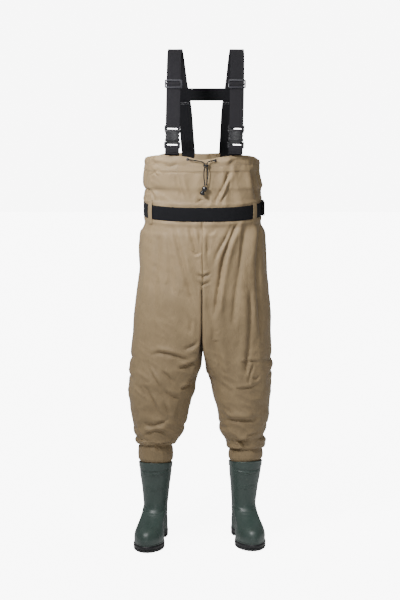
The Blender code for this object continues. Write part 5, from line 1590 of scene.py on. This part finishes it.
# The two strands from in front of the eyelets to the toggle, as in the part.
STRANDS = {
    "left": [
        (0.0465, -0.1125, 1.4200),
        (0.0380, -0.1135, 1.4192),
        (0.0305, -0.1140, 1.4172),
        (0.0252, -0.1144, 1.4125),
        (0.0232, -0.1146, 1.4050),
        (0.0236, -0.1146, 1.3965),
        (0.0254, -0.1144, 1.3870),
        (0.0264, -0.1142, 1.3770),
        (0.0262, -0.1141, 1.3670),
        (0.0250, -0.1140, 1.3570),
        (0.0232, -0.1140, 1.3470),
        (0.0216, -0.1140, 1.3380),
        (0.0210, -0.1140, 1.3310),
    ],
    "right": [
        (-0.0385, -0.1125, 1.4231),
        (-0.0290, -0.1137, 1.4220),
        (-0.0190, -0.1142, 1.4208),
        (-0.0090, -0.1145, 1.4195),
        (0.0005, -0.1147, 1.4180),
        (0.0090, -0.1148, 1.4148),
        (0.0142, -0.1148, 1.4090),
        (0.0160, -0.1148, 1.4010),
        (0.0150, -0.1146, 1.3920),
        (0.0132, -0.1144, 1.3820),
        (0.0124, -0.1143, 1.3720),
        (0.0126, -0.1142, 1.3620),
        (0.0136, -0.1141, 1.3520),
        (0.0150, -0.1141, 1.3420),
        (0.0158, -0.1141, 1.3310),
    ],
}


def revolved(name, profile, matrix, closed):
    """A profile of (radius, height) points turned about Z."""
    segments = 40
    angles = 2 * math.pi * np.arange(segments) / segments
    grid = np.array([[(r * math.cos(a), r * math.sin(a), z) for a in angles] for r, z in profile])
    faces = grid_faces(len(profile), segments, closed=True)
    if closed:
        start = (len(profile) - 1) * segments
        for k in range(segments):
            after = (k + 1) % segments
            faces.append((start + k, start + after, after, k))
    obj = grid_mesh(name, grid, faces)
    with editing(obj.data) as bm:
        bmesh.ops.remove_doubles(bm, verts=bm.verts, dist=1e-6)
        bmesh.ops.recalc_face_normals(bm, faces=bm.faces)
    obj.data.transform(matrix)
    return obj


def tube(name, points, radius):
    """A round cord along points, with closed ends and UVs round and along it in metres."""
    sides = 16
    line = smooth_line(points, 6)
    places = [Vector(p) for p in line]
    grid, uvs, travelled = [], [], 0.0
    side = Vector((0, -1, 0))
    for i, place in enumerate(places):
        along = (places[min(i + 1, len(places) - 1)] - places[max(i - 1, 0)]).normalized()
        side = (side - along * side.dot(along)).normalized()
        other = along.cross(side)
        travelled += (place - places[i - 1]).length if i else 0.0
        for k in range(sides):
            angle = 2 * math.pi * k / sides
            grid.append(place + (side * math.cos(angle) + other * math.sin(angle)) * radius)
            uvs.append((angle * radius, travelled))
    faces = grid_faces(len(places), sides, closed=True)
    faces.append(tuple(range(sides))[::-1])
    faces.append(tuple(len(grid) - sides + k for k in range(sides)))
    obj = grid_mesh(name, grid, faces, uvs)
    with editing(obj.data) as bm:
        bmesh.ops.recalc_face_normals(bm, faces=bm.faces)
    return obj, line


def build_eyelet(side):
    """A turned ring with a rolled edge, set on the hem."""
    x, z = EYELETS[side]
    low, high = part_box("eyelet_" + side)
    middle = (low + high) / 2
    _, outwards = bib_wall(z, x, False)
    ring_radius = (EYELET_RADIUS - EYELET_HOLE) / 2
    profile = []
    for k in range(14):
        angle = 2 * math.pi * k / 14
        radius = EYELET_HOLE + ring_radius * (1 + math.cos(angle))
        profile.append((radius, EYELET_THICK * 0.62 * math.sin(angle)))
    turn = outwards.to_track_quat("Z", "Y").to_matrix().to_4x4()
    matrix = Matrix.Translation(middle + outwards * 0.0002) @ turn
    return revolved("eyelet_ring_" + side, profile, matrix, True)


def build_toggle():
    """The two-lobed barrel at the end of both strands."""
    ends = [Vector(points[-1]) for points in STRANDS.values()]
    tip = (ends[0] + ends[1]) / 2
    r, length = TOGGLE_RADIUS, TOGGLE_LENGTH
    lower = [(0.0, 0.0), (0.40, 0.005), (0.70, 0.03), (0.93, 0.11), (1.00, 0.24), (0.97, 0.36), (0.78, 0.46)]
    neck = [(0.66, 0.52), (0.74, 0.58)]
    upper = [(0.94, 0.66), (1.00, 0.76), (0.92, 0.87), (0.66, 0.95), (0.36, 0.99), (0.0, 1.0)]
    line = smooth_line(lower + neck + upper, 4)
    profile = [(max(radius, 0.0) * r, height * length) for radius, height in line]
    tilt = Matrix.Rotation(math.radians(180 + TOGGLE_TILT), 4, "Y")
    lowered = tip - Vector((0, 0, CORD * 0.75))
    return revolved("toggle_barrel", profile, Matrix.Translation(lowered) @ tilt, False)


# The stitching

STITCH_PITCH = 0.0036
STITCH_LENGTH = 0.0027
STITCH_WIDTH = 0.0010


def surface_of(*objects):
    """The objects' meshes as one surface to lay stitches on."""
    points, faces = [], []
    for obj in objects:
        start = len(points)
        points += [obj.matrix_world @ vert.co for vert in obj.data.vertices]
        faces += [[start + i for i in face.vertices] for face in obj.data.polygons]
    return BVHTree.FromPolygons(points, faces)


def sewn(surface, line, outwards, pitch=STITCH_PITCH):
    """Places for stitches along a line that is pressed onto a surface: each a point, a way along and out."""
    line, outwards = np.array(line, float), np.array(outwards, float)
    travelled = np.concatenate([[0.0], np.cumsum(np.linalg.norm(np.diff(line, axis=0), axis=1))])
    places = []
    for at in np.arange(pitch / 2, travelled[-1], pitch):
        here, after, out = (
            Vector([np.interp(at + ahead, travelled, column) for column in values.T])
            for values, ahead in ((line, 0), (line, pitch / 4), (outwards, 0))
        )
        out.normalize()
        found, normal, _, _ = surface.ray_cast(here + out * 0.025, -out, 0.050)
        if found is not None and after != here:
            places.append((found, (after - here).normalized(), normal if normal.dot(out) > 0 else -normal))
    return places


def build_stitches(name, places, look):
    """Short rounded stitches as one mesh."""
    points, faces = [], []
    for place, along, out in places:
        across = along.cross(out).normalized()
        start = len(points)
        points += [place + along * STITCH_LENGTH / 2 * way - out * 0.0002 for way in (-1, 1)]
        for way in (-0.30, 0.30):
            for k in range(6):
                angle = math.pi * k / 3
                lift = out * (0.5 + math.sin(angle)) + across * math.cos(angle)
                points.append(place + along * STITCH_LENGTH * way + lift * STITCH_WIDTH / 2)
        for k in range(6):
            a, b = start + 2 + k, start + 2 + (k + 1) % 6
            faces += [(start, b, a), (start + 1, a + 6, b + 6), (a, b, b + 6, a + 6)]
    return finished(grid_mesh(name, points, faces), look)


def torso_line(z, turns, side):
    """A level line on the torso, and the ways out of it."""
    line = torso_points(z, turns, side)
    out = line - (torso_points(z, 0.0, side) + torso_points(z, 1.0, side)) / 2
    out[:, 2] = 0
    return line, out


def boxed_cross(x, low, high, half, y):
    """The lines of a sewn box with a cross in it."""
    corners = [(x - half, y, low), (x + half, y, low), (x + half, y, high), (x - half, y, high)]
    return [corners + corners[:1], [corners[0], corners[2]], [corners[1], corners[3]]]


def cloth_stitches(cloth):
    surface = surface_of(*cloth)
    places = []
    for side in SIDES:
        for z in (BIB_TOP - HEM_DEPTH + 0.0030, BIB_TOP - 0.0275):
            places += sewn(surface, *torso_line(z, np.linspace(0, 1, 160), side))
        seam = [torso_points(z, 0.5, side) for z in np.linspace(BIB_TOP - HEM_DEPTH, CROTCH, 60)]
        seam += list(leg_points(side, np.linspace(0.02, 0.84, 120))[:, TORSO_COLUMNS // 2])
        places += sewn(surface, seam, [(SIDES[side], 0, 0)] * len(seam))
        for end, front in ((0, -1.0), (-1, 1.0)):
            x = brace_track(side).points[end].x
            low, high = BIB_TOP - HEM_DEPTH + 0.006, BIB_TOP - 0.016
            for line in boxed_cross(x, low, high, WEB_WIDTH * 0.38, BODY_Y + front * HIP_DEPTH / 2 * 0.87):
                places += sewn(surface, line, [(0, front, 0)] * len(line), STITCH_PITCH * 0.9)
    return build_stitches("cloth_stitches", places, "tan_thread")


def brace_stitches(straps):
    """Rows of grey thread where the front straps are sewn over the back ones."""
    surface = surface_of(*straps)
    places = []
    for side in SIDES:
        track = brace_track(side)
        for below in (0.006, 0.012):
            z = CROSSBAR_HEIGHT - CROSSBAR_WIDTH / 2 - below
            middle = next(p for p in track.points if p.y > BODY_Y + HIP_DEPTH / 4 and p.z < z)
            half = WEB_WIDTH * 0.44
            line = [(middle.x - half, middle.y, z), (middle.x + half, middle.y, z)]
            places += sewn(surface, line, [(0, -1, 0)] * 2)
    return build_stitches("brace_stitches", places, "grey_thread")


# The room


def add_camera():
    """At the photo's angle: about 6.3 m away and 1.87 m up, looking a little down."""
    data = bpy.data.cameras.new("camera")
    data.sensor_fit = "VERTICAL"
    data.sensor_height = 36.0
    data.lens = 104.8
    data.shift_x = -0.4 / 600
    camera = placed("camera", data)
    camera.location = (0.0, -6.3, 1.87)
    camera.rotation_euler = (math.radians(90 - 8.72), 0, 0)
    bpy.context.scene.camera = camera


def add_area(name, place, target, size, power, spread):
    data = bpy.data.lights.new(name, "AREA")
    data.shape = "RECTANGLE"
    data.size, data.size_y = size
    data.energy = power
    data.spread = math.radians(spread)
    light = placed(name, data)
    light.location = place
    light.rotation_euler = (Vector(target) - Vector(place)).to_track_quat("-Z", "Y").to_euler()


# How bright the camera sees the wall and the floor
BACKDROP = 8.0


def add_room():
    """A pale floor, a bright even surround, a key light on the bib, a weak front light and a soft top."""
    floor = grid_mesh("floor", [(-8, -8, 0), (8, -8, 0), (8, 12, 0), (-8, 12, 0)], [(0, 1, 2, 3)])
    pale = Look("pale_floor", 0.85, Emission_Color=(1, 1, 1, 1))
    grain = pale.noise(pale.place(), 0.30, 3.0)
    pale.colour(pale.ramp(grain, [(0.3, (0.86, 0.86, 0.86)), (0.7, (0.89, 0.89, 0.89))]))
    seen = pale.add("ShaderNodeLightPath").outputs["Is Camera Ray"]
    glow = pale.math("MULTIPLY", seen, BACKDROP)
    pale.links.new(glow, pale.shader.inputs["Emission Strength"])
    floor.data.materials.append(pale.material)
    bpy.context.scene.world = surround()
    add_area("key", (-0.90, -1.25, 2.20), (0, -0.1, 1.42), (0.35, 0.35), 10, 68)
    add_area("front", (0.2, -5.0, 1.6), (0, 0, 1.0), (0.7, 1.0), 8, 120)
    sun = bpy.data.lights.new("soft_top", "SUN")
    sun.energy = 2.45
    sun.angle = math.radians(40)
    placed("soft_top", sun).rotation_euler = (math.radians(17), math.radians(-8), 0)


def surround():
    """A white studio wall that the camera sees, which lights the object only softly."""
    world = bpy.data.worlds.new("surround")
    world.use_nodes = True
    nodes, links = world.node_tree.nodes, world.node_tree.links
    background = nodes["Background"]
    background.inputs["Color"].default_value = (1, 1, 1, 1)
    seen = nodes.new("ShaderNodeLightPath")
    strength = nodes.new("ShaderNodeMapRange")
    strength.inputs["To Min"].default_value = 0.16
    strength.inputs["To Max"].default_value = BACKDROP
    links.new(seen.outputs["Is Camera Ray"], strength.inputs["Value"])
    links.new(strength.outputs["Result"], background.inputs["Strength"])
    return world


# The whole scene


def make_cloth():
    cloth = [build_bib(), *(build_trouser(side) for side in SIDES)]
    for piece in cloth:
        finished(piece, "tan_coated_cloth", "wader_shell")
    cloth_stitches(cloth)


def make_boots():
    for side in SIDES:
        finished(build_boot(side), "green_boot_rubber", "boot_" + side)
        finished(build_sole(side), "black_sole_rubber", "outsole_" + side)
        repainted("insole_" + side, "grey_insole_felt")


def make_drawcord():
    toggle = finished(build_toggle(), "black_toggle_plastic", "toggle")
    bead = finished(detailed_copy("bead", "cord_bead", 0.0005), "black_toggle_plastic", "cord_bead")
    for side, route in STRANDS.items():
        finished(build_eyelet(side), "black_eyelet_metal", "eyelet_" + side)
        x, z = EYELETS[side]
        wall, outwards = bib_wall(z, x, False)
        points = [wall + outwards * out for out in (GAP * 3, 0.0050, 0.0085)] + [Vector(p) for p in route]
        strand, line = tube("cord_" + side, [tuple(p) for p in points], CORD / 2)
        finished(strand, "black_cord", "drawcord_" + side)


def make_webbing():
    tracks, straps = {}, []
    for side in SIDES:
        track, lower, front, back = brace_rows(side)
        tracks[side] = track
        finished(ribbon("lower_strap_" + side, lower), "charcoal_webbing", "brace_lower_" + side)
        straps += [ribbon("front_strap_" + side, front), ribbon("back_strap_" + side, back)]
        finished(straps[-2], "charcoal_webbing", "brace_front_" + side)
        finished(straps[-1], "black_elastic_webbing", "brace_back_" + side)
    brace_stitches(straps)
    finished(ribbon("back_bar", crossbar_rows(tracks)), "black_elastic_webbing", "brace_crossbar")
    finished(ribbon("waist_belt", belt_rows()), "black_elastic_webbing", "belt")
    for side in SIDES:
        for place, column in (("front", 4), ("back", 10)):
            node = f"belt_loop_{place}_{side}"
            finished(build_belt_loop(f"tape_loop_{place}_{side}", side, column), "tan_tape", node)


def make_fittings():
    for node in ("buckle_left", "buckle_right", "belt_buckle"):
        for half in ("socket", "plug"):
            name = f"{node}_{half}"
            finished(detailed_copy("worked_" + name, name, 0.0006), "black_buckle_plastic", name)
    for side in SIDES:
        for half, heights in SLOT_RIMS.items():
            node = f"buckle_{side}_{half}"
            finished(build_slot_rim("slot_rim_" + node, side, *heights), "black_buckle_plastic", node)
        node = "slider_" + side
        finished(detailed_copy("worked_" + node, node, 0.0008), "slate_slider_plastic", node)


add_camera()
add_room()
make_cloth()
make_boots()
make_drawcord()
make_webbing()
make_fittings()
